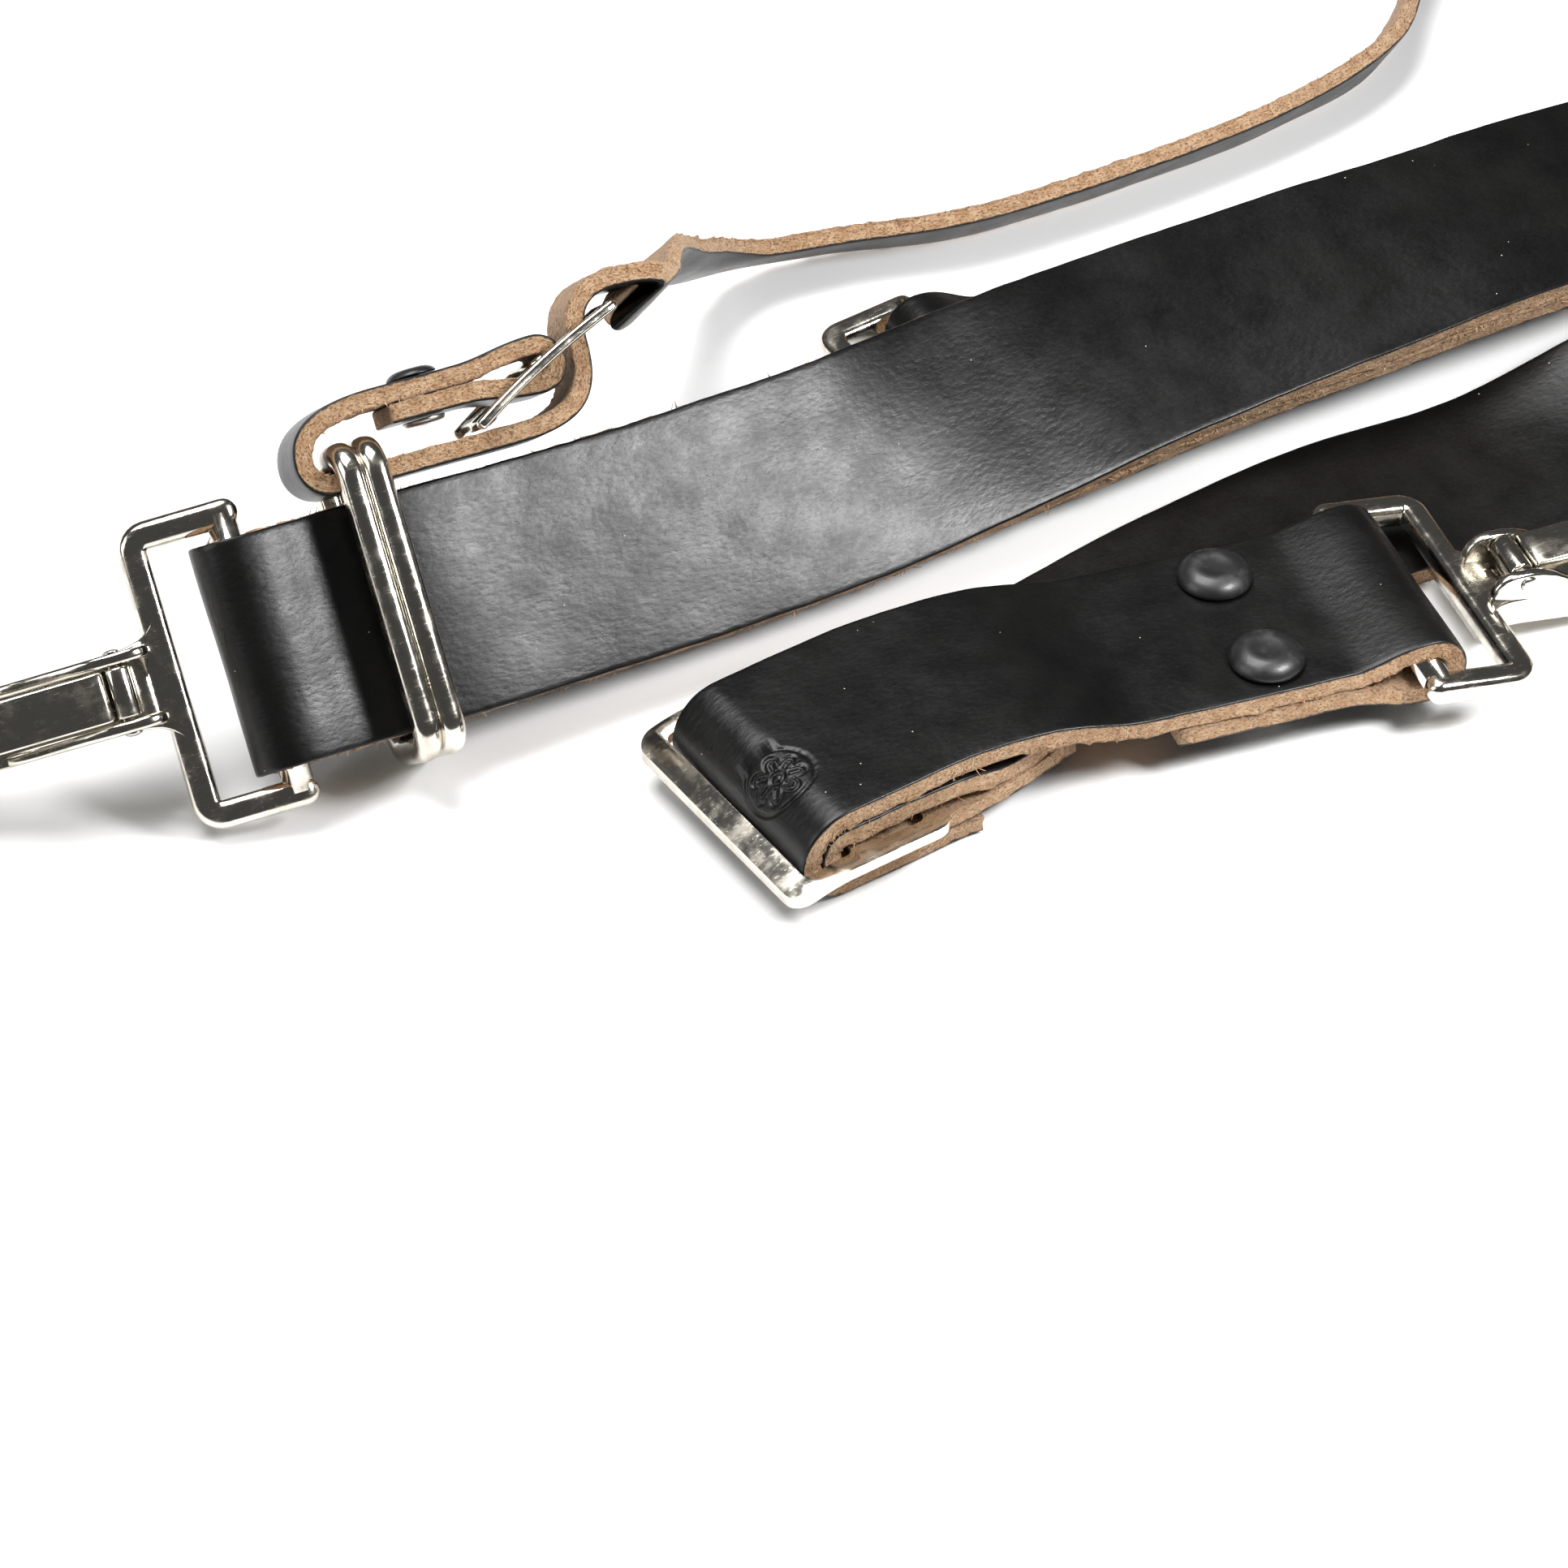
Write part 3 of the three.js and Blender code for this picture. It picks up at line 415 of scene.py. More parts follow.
RIGHT = Guide(SLIDE_LINE + [
    (48, 0, 0, 0),
    (84, 6, 0, 0),
    (118, 8.6, 0, 0),
    (148, 6.5, 0, 0),
    near_edge(190, -14, 3.4 - FLOOR_LAYER, 14),
    near_edge(232, -11, 7 - FLOOR_LAYER, 36),
    near_edge(268, -6, HOLD - FLOOR_LAYER, LEAN),
    near_edge(292, -5.4, HOLD - FLOOR_LAYER, LEAN),
    near_edge(316, -6, HOLD - FLOOR_LAYER, 42),
    (YOKE_START - 18, YOKE_Y - STRAP_WIDTH / 2 - 1.2, YOKE_LEVEL + 3.2 - FLOOR_LAYER, 6),
    (YOKE_START, YOKE_Y - STRAP_WIDTH / 2 - 0.5, YOKE_LEVEL + 0.25 - FLOOR_LAYER, 0),
    (YOKE_START + 35, YOKE_Y - STRAP_WIDTH / 2 - 0.4, YOKE_LEVEL - FLOOR_LAYER, 0),
    (YOKE_START + YOKE_WIDE, YOKE_Y - STRAP_WIDTH / 2 - 0.4, YOKE_LEVEL - FLOOR_LAYER, 0),
])
TAB = Guide(SLIDE_LINE + [(45, -9.6, 0, 0), (70, -14.4, 0, 0), (92, -18.6, 0, 0), (114, -22.8, 0, 0)])
BACK = Guide([
    (50, 67, SNAP_RING, 0),
    (72, 67, SNAP_RING, 0),
    (100, 67, SNAP_RING, 0),
    (150, 66, SNAP_RING * 0.6, 0),
    (215, 57, 0, 0),
    (300, 38, 0, 0),
    (YOKE_START + 35, YOKE_Y, 0, 0),
    (YOKE_START + YOKE_WIDE, YOKE_Y, 0, 0),
    (YOKE_START + 150, YOKE_Y, 0, 0),
])

LEFT_FOLD = LEFT.station_at(1) + 26
LEFT_KEEPER = LEFT.station_at(3) + 12
LEFT_TAIL = LEFT.station_at(12) + 12
SLIDE_AT = RIGHT.station_at(2) + 7
LOOP_AT = SLIDE_AT - SLIDE_BAR / 2
RIGHT_KEEPER = RIGHT.station_at(12)
RIGHT_TAIL_LEVEL = SLIDE_LEVEL - LOOP_RADIUS
TAB_FOLD = TAB.station_at(2) + 7 + 107
TAB_SNAPS = TAB_FOLD - 26
TAB_TAIL = TAB_FOLD - 44
BACK_FOLD = BACK.station_at(1) + 4
BACK_LEVEL = FLOOR_GAP + LEATHER / 2 + FOLD_RADIUS
BACK_SNAPS = BACK_FOLD + 28
BACK_TAIL = BACK_FOLD + 64
BACK_TURN = BACK.station_at(7) + 58
KEEPER_OFF = KEEPER_SHIFT - LAYER / 2
KEEPER_CENTRE = (KEEPER_OPEN - STRAP_WIDTH - 1.6) / 2
KEEPER_BAR = KEEPER_CENTRE + KEEPER_OPEN / 2 + RIB / 2


def cross_guide() -> Guide:
    """The narrow cross strap's guide, straight beside both keepers.

    Returns:
        The guide of the cross strap.
    """
    lean = 90 + LEAN
    bars = (LEFT.matrix(LEFT_KEEPER, KEEPER_OFF, KEEPER_BAR),
            RIGHT.matrix(RIGHT_KEEPER, FLOOR_LAYER + KEEPER_OFF, KEEPER_BAR))

    def beside(bar: Matrix, distances: list[float]) -> list[Station]:
        """Stations in line with a keeper's bar."""
        along = bar.to_3x3().col[0]
        return [(*(bar.translation + along * d), lean) for d in distances]

    run: list[Station] = [
        (26, 90, 36, 138), (42, 108, 20, 138), (58, 118, 9, 138), (76, 117, 6.4, 136),
        (100, 110, 6.2, 132), (134, 108, 6.2, 130), (170, 110, 6.2, 128), (198, 117, 6.4, 120),
        (219, 135, 6.8, 100), (238, 152, 7, 90), (258, 148, 7, 90), (264, 126, 8, 96),
        (252, 104, 15, 112), (236, 84, 29, 128), (231, 68, 40, 138),
    ]
    ends = (beside(bars[0], [-22, 0, 20, 38, 54, 60]), beside(bars[1], [-60, -54, -38, -20, 0, 22]))
    return Guide(ends[0] + run + ends[1])


CROSS = cross_guide()
CROSS_START = CROSS.station_at(1)
CROSS_END = CROSS.station_at(len(CROSS.points) - 2)
BAR_LOOP = RIB / 2 + GAP + CROSS_LEATHER / 2
CROSS_LAYER = CROSS_LEATHER + 0.3
CROSS_RIVET = 14.5
SMALL_LOOP = 1.35 + GAP + CROSS_LEATHER / 2
SMALL_AT, SMALL_LEVEL = 34.0, -5.8
SMALL_BARS = ((23.0, 0.7), (SMALL_AT, SMALL_LEVEL), (46.5, -11.0))



# ---- side profiles of the straps ----------------------------------------------------------------
def left_profile() -> list[Step]:
    """The left shoulder strap: in from the yoke, round its hook and back beneath itself.

    Returns:
        Its steps from one end to the other.
    """
    path = Profile(LEFT.length - 2, 0)
    path.fold_left(LEFT_FOLD, -LAYER / 2, FOLD_RADIUS, 0, -LAYER)
    path.line(LEFT_TAIL, -LAYER)
    return path.steps


def right_profile() -> list[Step]:
    """The right shoulder strap: in from the yoke, round the wide slide's bar and back.

    Returns:
        Its steps from one end to the other.
    """
    path = Profile(RIGHT.length - 2, FLOOR_LAYER)
    over, top = RIGHT_TAIL_LEVEL + LAYER, SLIDE_LEVEL + LOOP_RADIUS
    path.line(SLIDE_AT + 66, FLOOR_LAYER)
    path.curve(SLIDE_AT + 54, FLOOR_LAYER, SLIDE_AT + 50, over, SLIDE_AT + 39, over)
    path.line(SLIDE_AT + 28, over)
    path.curve(SLIDE_AT + 24, over, SLIDE_AT + 22, top, SLIDE_AT + 17, top)
    path.line(LOOP_AT, top)
    path.arc(LOOP_AT, SLIDE_LEVEL, LOOP_RADIUS, math.pi / 2, 1.5 * math.pi)
    path.line(SLIDE_AT + 41, RIGHT_TAIL_LEVEL)
    return path.steps


def tab_profile() -> list[Step]:
    """The front tab: from its snapped tail round the hook, over the slide and under it.

    Returns:
        Its steps from one end to the other.
    """
    upper, lower = TAB_LEVEL + LAYER / 2, TAB_LEVEL - LAYER / 2
    ease, half_ease = HOOK_EASE * 0.6, HOOK_EASE * 0.4
    path = Profile(TAB_TAIL, lower)
    path.line(TAB_FOLD - HOOK_EASE, lower)
    path.curve(TAB_FOLD - ease, lower, TAB_FOLD - half_ease, TAB_LEVEL - FOLD_RADIUS,
               TAB_FOLD, TAB_LEVEL - FOLD_RADIUS)
    path.arc(TAB_FOLD, TAB_LEVEL, FOLD_RADIUS, -math.pi / 2, math.pi / 2)
    path.curve(TAB_FOLD - half_ease, TAB_LEVEL + FOLD_RADIUS, TAB_FOLD - ease, upper,
               TAB_FOLD - HOOK_EASE, upper)
    path.line(TAB_TAIL - 4, upper)
    top = SLIDE_LEVEL + OUTER_LOOP
    path.curve(TAB_TAIL - 14, upper, SLIDE_AT + 48, top, SLIDE_AT + 32, top)
    path.line(LOOP_AT, top)
    path.arc(LOOP_AT, SLIDE_LEVEL, OUTER_LOOP, math.pi / 2, 1.5 * math.pi)
    path.line(SLIDE_AT + 26, FLOOR_LAYER)
    return path.steps


def back_profile() -> list[Step]:
    """The back strap: from its snapped tail round the hook, along, and up into the yoke.

    Returns:
        Its steps from one end to the other.
    """
    upper, lower = FLOOR_LAYER + LAYER, FLOOR_LAYER
    path = Profile(BACK_TAIL, upper)
    path.fold_left(BACK_FOLD, BACK_LEVEL, FOLD_RADIUS, upper, lower)
    path.line(BACK_TURN, lower)
    rise = (YOKE_LEVEL - lower) / 2
    path.arc(BACK_TURN, lower + rise, rise, -math.pi / 2, math.pi / 2)
    path.line(BACK.station_at(7) + 1.5, YOKE_LEVEL)
    return path.steps


def cross_end(at: float, side: int) -> list[Step]:
    """One end of the cross strap: its tail, round the slide, round the keeper and out.

    Args:
        at: Place of the keeper along the guide.
        side: 1 where the run leads away along the guide, -1 where it comes in.

    Returns:
        The steps from the tail outwards.
    """
    tail = -BAR_LOOP
    outer = tail - CROSS_LAYER
    bend = RIB - 0.4
    half = math.pi / 2

    def along(*pairs: float) -> list[float]:
        """Control points with their distances turned to this side."""
        return [at + side * v if i % 2 == 0 else v for i, v in enumerate(pairs)]

    path = Profile(at + side * 8, tail, bend=0.6, straight=1.3)
    path.line(*along(20.5, tail))
    high, low = SMALL_LEVEL + SMALL_LOOP, SMALL_LEVEL - SMALL_LOOP
    path.curve(*along(25.5, tail, 28.5, high, SMALL_AT, high))
    path.arc(at + side * SMALL_AT, SMALL_LEVEL, SMALL_LOOP, half, -half if side > 0 else 3 * half)
    path.curve(*along(28.5, low, 25.5, outer, 20.5, outer))
    path.line(*along(7, outer))
    path.curve(*along(-2, outer, -bend - BAR_LOOP, -6, -bend - BAR_LOOP, 0))
    path.arc(at - side * bend, 0, BAR_LOOP, math.pi if side > 0 else 0.0, half)
    path.line(*along(28, BAR_LOOP))
    path.curve(*along(37, BAR_LOOP, 41.6, 2, 41.6, -7))
    path.curve(*along(41.6, -13, 44.5, -16, 50, -16))
    path.curve(*along(68, -16, 78, 0, 100, 0))
    return path.steps


def cross_profile() -> list[Step]:
    """The whole cross strap, from one tail to the other.

    Returns:
        Its steps from one end to the other.
    """
    left = cross_end(CROSS_START, 1)
    right = reversed_steps(cross_end(CROSS_END, -1))
    path = Profile(left[-1].s, left[-1].n, straight=1.3)
    path.line(right[0].s, right[0].n)
    joined = Profile(left[0].s, left[0].n)
    for step in left + path.steps + right:
        joined.add_step(step.s, step.n, step.ds, step.dn)
    return joined.steps


# ---- shader maths --------------------------------------------------------------------------------
class Sock:
    """A node socket that takes part in Python arithmetic."""

    def __init__(self, board: "Board", socket: bpy.types.NodeSocket) -> None:
        """Keeps the board and the output socket."""
        self.board = board
        self.socket = socket

    def _maths(self, operation: str, first: "Input", second: "Input") -> "Sock":
        """Adds a Math node and returns its result."""
        return self.board.add("ShaderNodeMath", {"operation": operation}, {0: first, 1: second})

    def __add__(self, other: "Input") -> "Sock":
        """This plus other."""
        return self._maths("ADD", self, other)

    def __sub__(self, other: "Input") -> "Sock":
        """This less other."""
        return self._maths("SUBTRACT", self, other)

    def __rsub__(self, other: "Input") -> "Sock":
        """Other less this."""
        return self._maths("SUBTRACT", other, self)

    def __mul__(self, other: "Input") -> "Sock":
        """This times other."""
        return self._maths("MULTIPLY", self, other)

    __radd__ = __add__
    __rmul__ = __mul__

    def most(self, other: "Input") -> "Sock":
        """The larger of this and other."""
        return self._maths("MAXIMUM", self, other)

    def rise(self, low: float, high: float) -> "Sock":
        """A smooth step from 0 at low to 1 at high."""
        settings = {"interpolation_type": "SMOOTHSTEP"}
        return self.board.add("ShaderNodeMapRange", settings, {0: self, 1: low, 2: high, 3: 0.0, 4: 1.0})


Input = float | tuple | Sock


class Board:
    """The node tree of one finish."""

    def __init__(self, name: str) -> None:
        """Makes a material with an empty tree and a Principled shader.

        Args:
            name: Name of the material.
        """
        self.material = bpy.data.materials.new(name)
        self.material.use_nodes = True
        self.tree = self.material.node_tree
        self.tree.nodes.clear()
        output = self.tree.nodes.new("ShaderNodeOutputMaterial")
        self.shader = self.tree.nodes.new("ShaderNodeBsdfPrincipled")
        self.tree.links.new(self.shader.outputs[0], output.inputs[0])

    def feed(self, socket: bpy.types.NodeSocket, value: Input) -> None:
        """Gives a socket a value or a link.

        Args:
            socket: The input.
            value: A number, a colour or a socket.
        """
        if isinstance(value, Sock):
            self.tree.links.new(value.socket, socket)
        else:
            socket.default_value = value

    def add(self, kind: str, settings: dict | None = None, inputs: dict | None = None,
            out: int | str = 0) -> Sock:
        """Adds a node of any type.

        Args:
            kind: The node's type.
            settings: Properties, set before the sockets.
            inputs: Values or links by socket name or number.
            out: The output that is wanted.

        Returns:
            The wrapped output.
        """
        node = self.tree.nodes.new(kind)
        for key, value in (settings or {}).items():
            setattr(node, key, value)
        for key, value in (inputs or {}).items():
            self.feed(node.inputs[key], value)
        return Sock(self, node.outputs[out])

    def set(self, **values: Input) -> None:
        """Sets the shader's sockets; a name's underscores stand for spaces."""
        for key, value in values.items():
            self.feed(self.shader.inputs[key.replace("_", " ")], value)

    def mix(self, factor: Input, first: Input, second: Input) -> Sock:
        """Mixes two colours."""
        inputs = {0: factor, 6: first, 7: second}
        return self.add("ShaderNodeMix", {"data_type": "RGBA"}, inputs, out=2)

    def place(self, stretch: tuple = (1, 1, 1), turn: float = 0.0, flat: bool = True) -> Sock:
        """Coordinates in millimetres, on the flat leather or on the piece.

        Args:
            stretch: Scale of the pattern along each axis.
            turn: Turn about the third axis in radians.
            flat: Whether the piece's own flat coordinates are read.

        Returns:
            The coordinates.
        """
        if flat:
            base = self.add("ShaderNodeAttribute", {"attribute_name": "flat"}, out="Vector")
        else:
            base = self.add("ShaderNodeTexCoord", out="Object")
            base = self.add("ShaderNodeVectorMath", {"operation": "SCALE"}, {0: base, "Scale": 1000.0})
        inputs = {"Vector": base, "Rotation": (0.0, 0.0, turn), "Scale": stretch}
        return self.add("ShaderNodeMapping", {"vector_type": "POINT"}, inputs)

    def noise(self, at: Sock, scale: float, detail: float = 2.0, rough: float = 0.5) -> Sock:
        """Noise between about 0.3 and 0.7.

        Args:
            at: Coordinates in millimetres.
            scale: Features per millimetre.
            detail: Octaves.
            rough: Weight of the finer octaves.

        Returns:
            The value.
        """
        inputs = {"Vector": at, "Scale": scale, "Detail": detail, "Roughness": rough}
        return self.add("ShaderNodeTexNoise", {"noise_dimensions": "3D"}, inputs, out=0)

    def cells(self, at: Sock, scale: float, smooth: bool = True, out: str = "Distance") -> Sock:
        """Cell pattern."""
        feature = "SMOOTH_F1" if smooth else "F1"
        return self.add("ShaderNodeTexVoronoi", {"feature": feature}, {"Vector": at, "Scale": scale}, out)

    def bump(self, height: Sock, depth: float, strength: float = 1.0) -> None:
        """Feeds a relief to the shader's normal.

        Args:
            height: Height between 0 and 1.
            depth: Depth of the relief in millimetres.
            strength: Strength of the effect.
        """
        inputs = {"Height": height, "Distance": depth * MM, "Strength": strength}
        self.set(Normal=self.add("ShaderNodeBump", None, inputs, out="Normal"))


# ---- finishes ------------------------------------------------------------------------------------
@dataclass(frozen=True)
class GrainFinish:
    """Black top side of the leather: pebbled, waxed, with a little dust."""

    name: str = "leather_black_grain"
    black: tuple = (0.0021, 0.0020, 0.0020, 1.0)
    worn: tuple = (0.0042, 0.0040, 0.0038, 1.0)
    dust: tuple = (0.42, 0.38, 0.31, 1.0)
    roughness: float = 0.34

    def make(self) -> bpy.types.Material:
        """Builds the material.

        Returns:
            The material.
        """
        board = Board(self.name)
        fine = board.place()
        streaks = board.place((0.55, 1.0, 1.0), 0.9)
        pebbles = board.cells(streaks, 1.25)
        waves = board.noise(fine, 0.16, 3.0, 0.55)
        pores = board.noise(streaks, 2.6, 3.0, 0.6)
        broad = board.noise(fine, 0.045, 2.0)
        speck = board.cells(fine, 0.36, smooth=False)
        chance = board.add("ShaderNodeSeparateColor", None,
                           {0: board.cells(fine, 0.36, smooth=False, out="Color")}, out=0)
        dust = (1.0 - speck.rise(0.035, 0.055)) * chance.rise(0.80, 0.82)
        tone = board.mix(broad.rise(0.35, 0.7), self.black, self.worn)
        board.set(Base_Color=board.mix(dust, tone, self.dust))
        board.set(Roughness=self.roughness + (waves - 0.5) * 0.22 + (pores - 0.5) * 0.16 + dust * 0.4)
        board.set(Specular_IOR_Level=0.30)
        board.bump(pebbles * 0.42 + waves * 1.2 + pores * 0.40, 0.10, 0.7)
        return board.material


@dataclass(frozen=True)
class RawFinish:
    """Raw edge and flesh side of the leather: tan, fibrous and pitted."""

    name: str = "leather_raw_edge"
    tan: tuple = (0.36, 0.212, 0.112, 1.0)
    pale: tuple = (0.47, 0.315, 0.19, 1.0)
    deep: tuple = (0.135, 0.066, 0.030, 1.0)
    flesh: tuple = (0.28, 0.18, 0.11, 1.0)
    dye: tuple = (0.012, 0.010, 0.009, 1.0)

    def make(self) -> bpy.types.Material:
        """Builds the material.

        Returns:
            The material.
        """
        board = Board(self.name)
        at = board.place()
        level = board.add("ShaderNodeAttribute", {"attribute_name": "level"}, out="Fac")
        fibres = board.noise(board.place((0.45, 0.9, 1.6)), 1.5, 4.0, 0.7)
        clumps = board.noise(at, 0.55, 3.0, 0.6)
        pits = board.noise(board.place((0.8, 1.2, 1.4)), 2.1, 2.0, 0.6)
        tone = board.mix(clumps.rise(0.36, 0.66), self.tan, self.pale)
        tone = board.mix((1.0 - level.rise(0.02, 0.2)) * 0.8, tone, self.flesh)
        dark = (pits.rise(0.50, 0.62) * 0.85).most(fibres.rise(0.52, 0.68) * 0.7)
        tone = board.mix(dark, tone, self.deep)
        bleed = (level + (clumps - 0.5) * 0.20 + (fibres - 0.5) * 0.16).rise(0.86, 0.92)
        board.set(Base_Color=board.mix(bleed, tone, self.dye))
        board.set(Roughness=0.95 - bleed * 0.35, Specular_IOR_Level=0.25)
        board.set(Sheen_Weight=0.25, Sheen_Roughness=0.6, Sheen_Tint=(0.9, 0.75, 0.6, 1.0))
        board.bump(fibres * 0.9 + pits * 0.8 + clumps * 0.8, 0.55, 0.9)
        return board.material


@dataclass(frozen=True)
class FibreFinish:
    """Loose fibres along the raw edges."""

    name: str = "leather_fibre"
    light: tuple = (0.66, 0.43, 0.25, 1.0)
    dark: tuple = (0.30, 0.17, 0.085, 1.0)

    def make(self) -> bpy.types.Material:
        """Builds the material.

        Returns:
            The material.
        """
        board = Board(self.name)
        shade = board.noise(board.place(flat=False), 0.35, 3.0)
        board.set(Base_Color=board.mix(shade.rise(0.38, 0.62), self.light, self.dark))
        board.set(Roughness=0.9, Specular_IOR_Level=0.2)
        return board.material


@dataclass(frozen=True)
class MetalFinish:
    """Plated metal with faint waviness, wipe marks and scratches."""

    name: str = "nickel_plate"
    color: tuple = (0.70, 0.665, 0.595, 1.0)
    shade: tuple = (0.55, 0.51, 0.44, 1.0)
    roughness: float = 0.12
    haze: float = 0.16
    relief: float = 0.035
    metallic: float = 1.0

    def make(self) -> bpy.types.Material:
        """Builds the material.

        Returns:
            The material.
        """
        board = Board(self.name)
        at = board.place(flat=False)
        cloud = board.noise(at, 0.22, 4.0, 0.6)
        marks = board.noise(board.place((0.12, 1.6, 1.6), 0.5, flat=False), 1.6, 3.0, 0.7)
        ripple = board.noise(at, 0.42, 2.0)
        pits = board.cells(at, 0.7, smooth=False)
        spots = 1.0 - pits.rise(0.04, 0.10)
        board.set(Base_Color=board.mix(cloud.rise(0.40, 0.68), self.color, self.shade))
        board.set(Roughness=self.roughness + cloud.rise(0.42, 0.7) * self.haze
                  + marks.rise(0.56, 0.7) * self.haze * 0.7 + spots * 0.1)
        board.set(Metallic=self.metallic)
        board.bump(ripple * 1.6 + marks * 0.10 - spots * 0.10, self.relief, 0.6)
        return board.material


@dataclass(frozen=True)
class EnamelFinish:
    """Satin black enamel of the snap caps."""

    name: str = "black_enamel_satin"
    black: tuple = (0.0075, 0.0075, 0.008, 1.0)
    rubbed: tuple = (0.024, 0.023, 0.022, 1.0)

    def make(self) -> bpy.types.Material:
        """Builds the material.

        Returns:
            The material.
        """
        board = Board(self.name)
        at = board.place(flat=False)
        cloud = board.noise(at, 0.30, 4.0, 0.6)
        grit = board.noise(at, 3.2, 2.0, 0.6)
        board.set(Base_Color=board.mix(cloud.rise(0.5, 0.75), self.black, self.rubbed))
        board.set(Roughness=0.38 + cloud.rise(0.35, 0.7) * 0.10 + (grit - 0.5) * 0.10)
        board.set(Metallic=0.0, Coat_Weight=0.10)
        board.bump(grit * 0.35 + cloud * 0.4, 0.03, 0.4)
        return board.material


@dataclass(frozen=True)
class FloorFinish:
    """Matt white surface under the suspenders."""

    name: str = "studio_white"
    white: tuple = (0.93, 0.93, 0.93, 1.0)

    def make(self) -> bpy.types.Material:
        """Builds the material.

        Returns:
            The material.
        """
        board = Board(self.name)
        soft = board.noise(board.place(flat=False), 0.01, 2.0)
        board.set(Base_Color=board.mix(soft.rise(0.3, 0.7), self.white, (0.91, 0.912, 0.915, 1.0)))
        board.set(Roughness=0.75, Specular_IOR_Level=0.2)
        return board.material


class Finishes:
    """Every finish of the suspenders, made once."""

    def __init__(self) -> None:
        """Makes the materials."""
        self.grain = GrainFinish().make()
        self.raw = RawFinish().make()
        self.fibre = FibreFinish().make()
        self.nickel = MetalFinish().make()
        self.steel = MetalFinish("plated_steel", (0.66, 0.65, 0.62, 1.0), (0.5, 0.49, 0.46, 1.0),
                                 0.2, 0.2, 0.03).make()
        self.enamel = EnamelFinish().make()
        self.floor = FloorFinish().make()


class Slot(Enum):
    """Material slots of the record."""

    LEATHER = "leather_black"
    NICKEL = "nickel"
    STEEL = "steel"
    ENAMEL = "black_enamel"


# ---- making pieces -------------------------------------------------------------------------------
EYE_INNER = STRAP_WIDTH / 2 + EYE_CLEARANCE
ARM = 5.0
PIN_X, PIN_Z, PIN_RADIUS = EYE_DEPTH + 7.5, 5.4, 1.1
TAB_PITCH, LEFT_PITCH, BACK_PITCH = 0.12, 0.27, 0.08


def pitched(frame_at: Matrix, pitch: float, turned: bool) -> Matrix:
    """A hook's own frame from its strap's.

    Args:
        frame_at: The strap's frame at the eye bar.
        pitch: Tilt about the bar in radians.
        turned: Whether the hook points back along the guide.

    Returns:
        The frame with X away from the strap.
    """
    half_turn = Matrix.Rotation(math.pi if turned else 0.0, 4, "Z")
    return frame_at @ half_turn @ Matrix.Rotation(pitch, 4, "Y")


def frame_origin() -> Vector:
    """Way in millimetres from the layout's origin to the frame's, from the place of one pin."""
    low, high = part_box("hook_tab_pin")
    pin = pitched(TAB.matrix(TAB_FOLD, TAB_LEVEL), TAB_PITCH, False) @ Vector((PIN_X, 0, PIN_Z))
    return (low + high) / 2 / MM - pin


ORIGIN = frame_origin()


def finished(bm: bmesh.types.BMesh, name: str, body: str, nodes: list[str],
             materials: list[bpy.types.Material]) -> bpy.types.Object:
    """Turns a bmesh into a piece of the object.

    Args:
        bm: The mesh, in layout millimetres.
        name: Name of the piece.
        body: CAD body it moves with.
        nodes: CAD nodes it stands for.
        materials: Materials in slot order.

    Returns:
        The object, in metres in the frame's coordinates.
    """
    to_frame = Matrix.Scale(MM, 4) @ Matrix.Translation(ORIGIN)
    bmesh.ops.transform(bm, matrix=to_frame, verts=bm.verts)
    mesh = bpy.data.meshes.new(name)
    bm.to_mesh(mesh)
    bm.free()
    mesh.shade_smooth()
    for material in materials:
        mesh.materials.append(material)
    piece = bpy.data.objects.new(name, mesh)
    bpy.context.scene.collection.objects.link(piece)
    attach(piece, body)
    if nodes:
        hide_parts(*nodes)
    LOG.info("%s: %d faces on %s", name, len(mesh.polygons), body)
    return piece


def rounded_section(width: float, height: float, radius: float, corner: int = 3) -> list[tuple]:
    """Outline of a rounded rectangle about its middle.

    Args:
        width: Size along the first axis.
        height: Size along the second axis.
        radius: Corner radius.
        corner: Facets in a corner.

    Returns:
        Points in order.
    """
    points = []
    for quarter, (sx, sy) in enumerate(((1, 1), (-1, 1), (-1, -1), (1, -1))):
        for i in range(corner + 1):
            a = (quarter + i / corner) * math.pi / 2
            points.append((sx * (width / 2 - radius) + radius * math.cos(a),
                           sy * (height / 2 - radius) + radius * math.sin(a)))
    return points


def sweep(bm: bmesh.types.BMesh, section: list[tuple], frames: list[Matrix],
          closed: bool = False) -> None:
    """Carries a section along frames, whose Z runs along the sweep.

    Args:
        bm: Mesh to add to.
        section: Outline in each frame's X and Y.
        frames: Places of the section.
        closed: Whether the last place joins the first.
    """
    ring = [bm.verts.new(frames[0] @ Vector((x, y, 0))) for x, y in section]
    edges = [bm.edges.new((ring[i - 1], ring[i])) for i in range(len(ring))]
    first = list(edges)
    for before, after in zip(frames, frames[1:]):
        made = bmesh.ops.extrude_edge_only(bm, edges=edges)["geom"]
        verts = [g for g in made if isinstance(g, bmesh.types.BMVert)]
        edges = [g for g in made if isinstance(g, bmesh.types.BMEdge)]
        edges = [e for e in edges if e.verts[0] in verts and e.verts[1] in verts]
        bmesh.ops.transform(bm, matrix=after @ before.inverted(), verts=verts)
    if closed:
        bmesh.ops.bridge_loops(bm, edges=first + edges)
    else:
        bmesh.ops.edgenet_fill(bm, edges=first)
        bmesh.ops.edgenet_fill(bm, edges=edges)


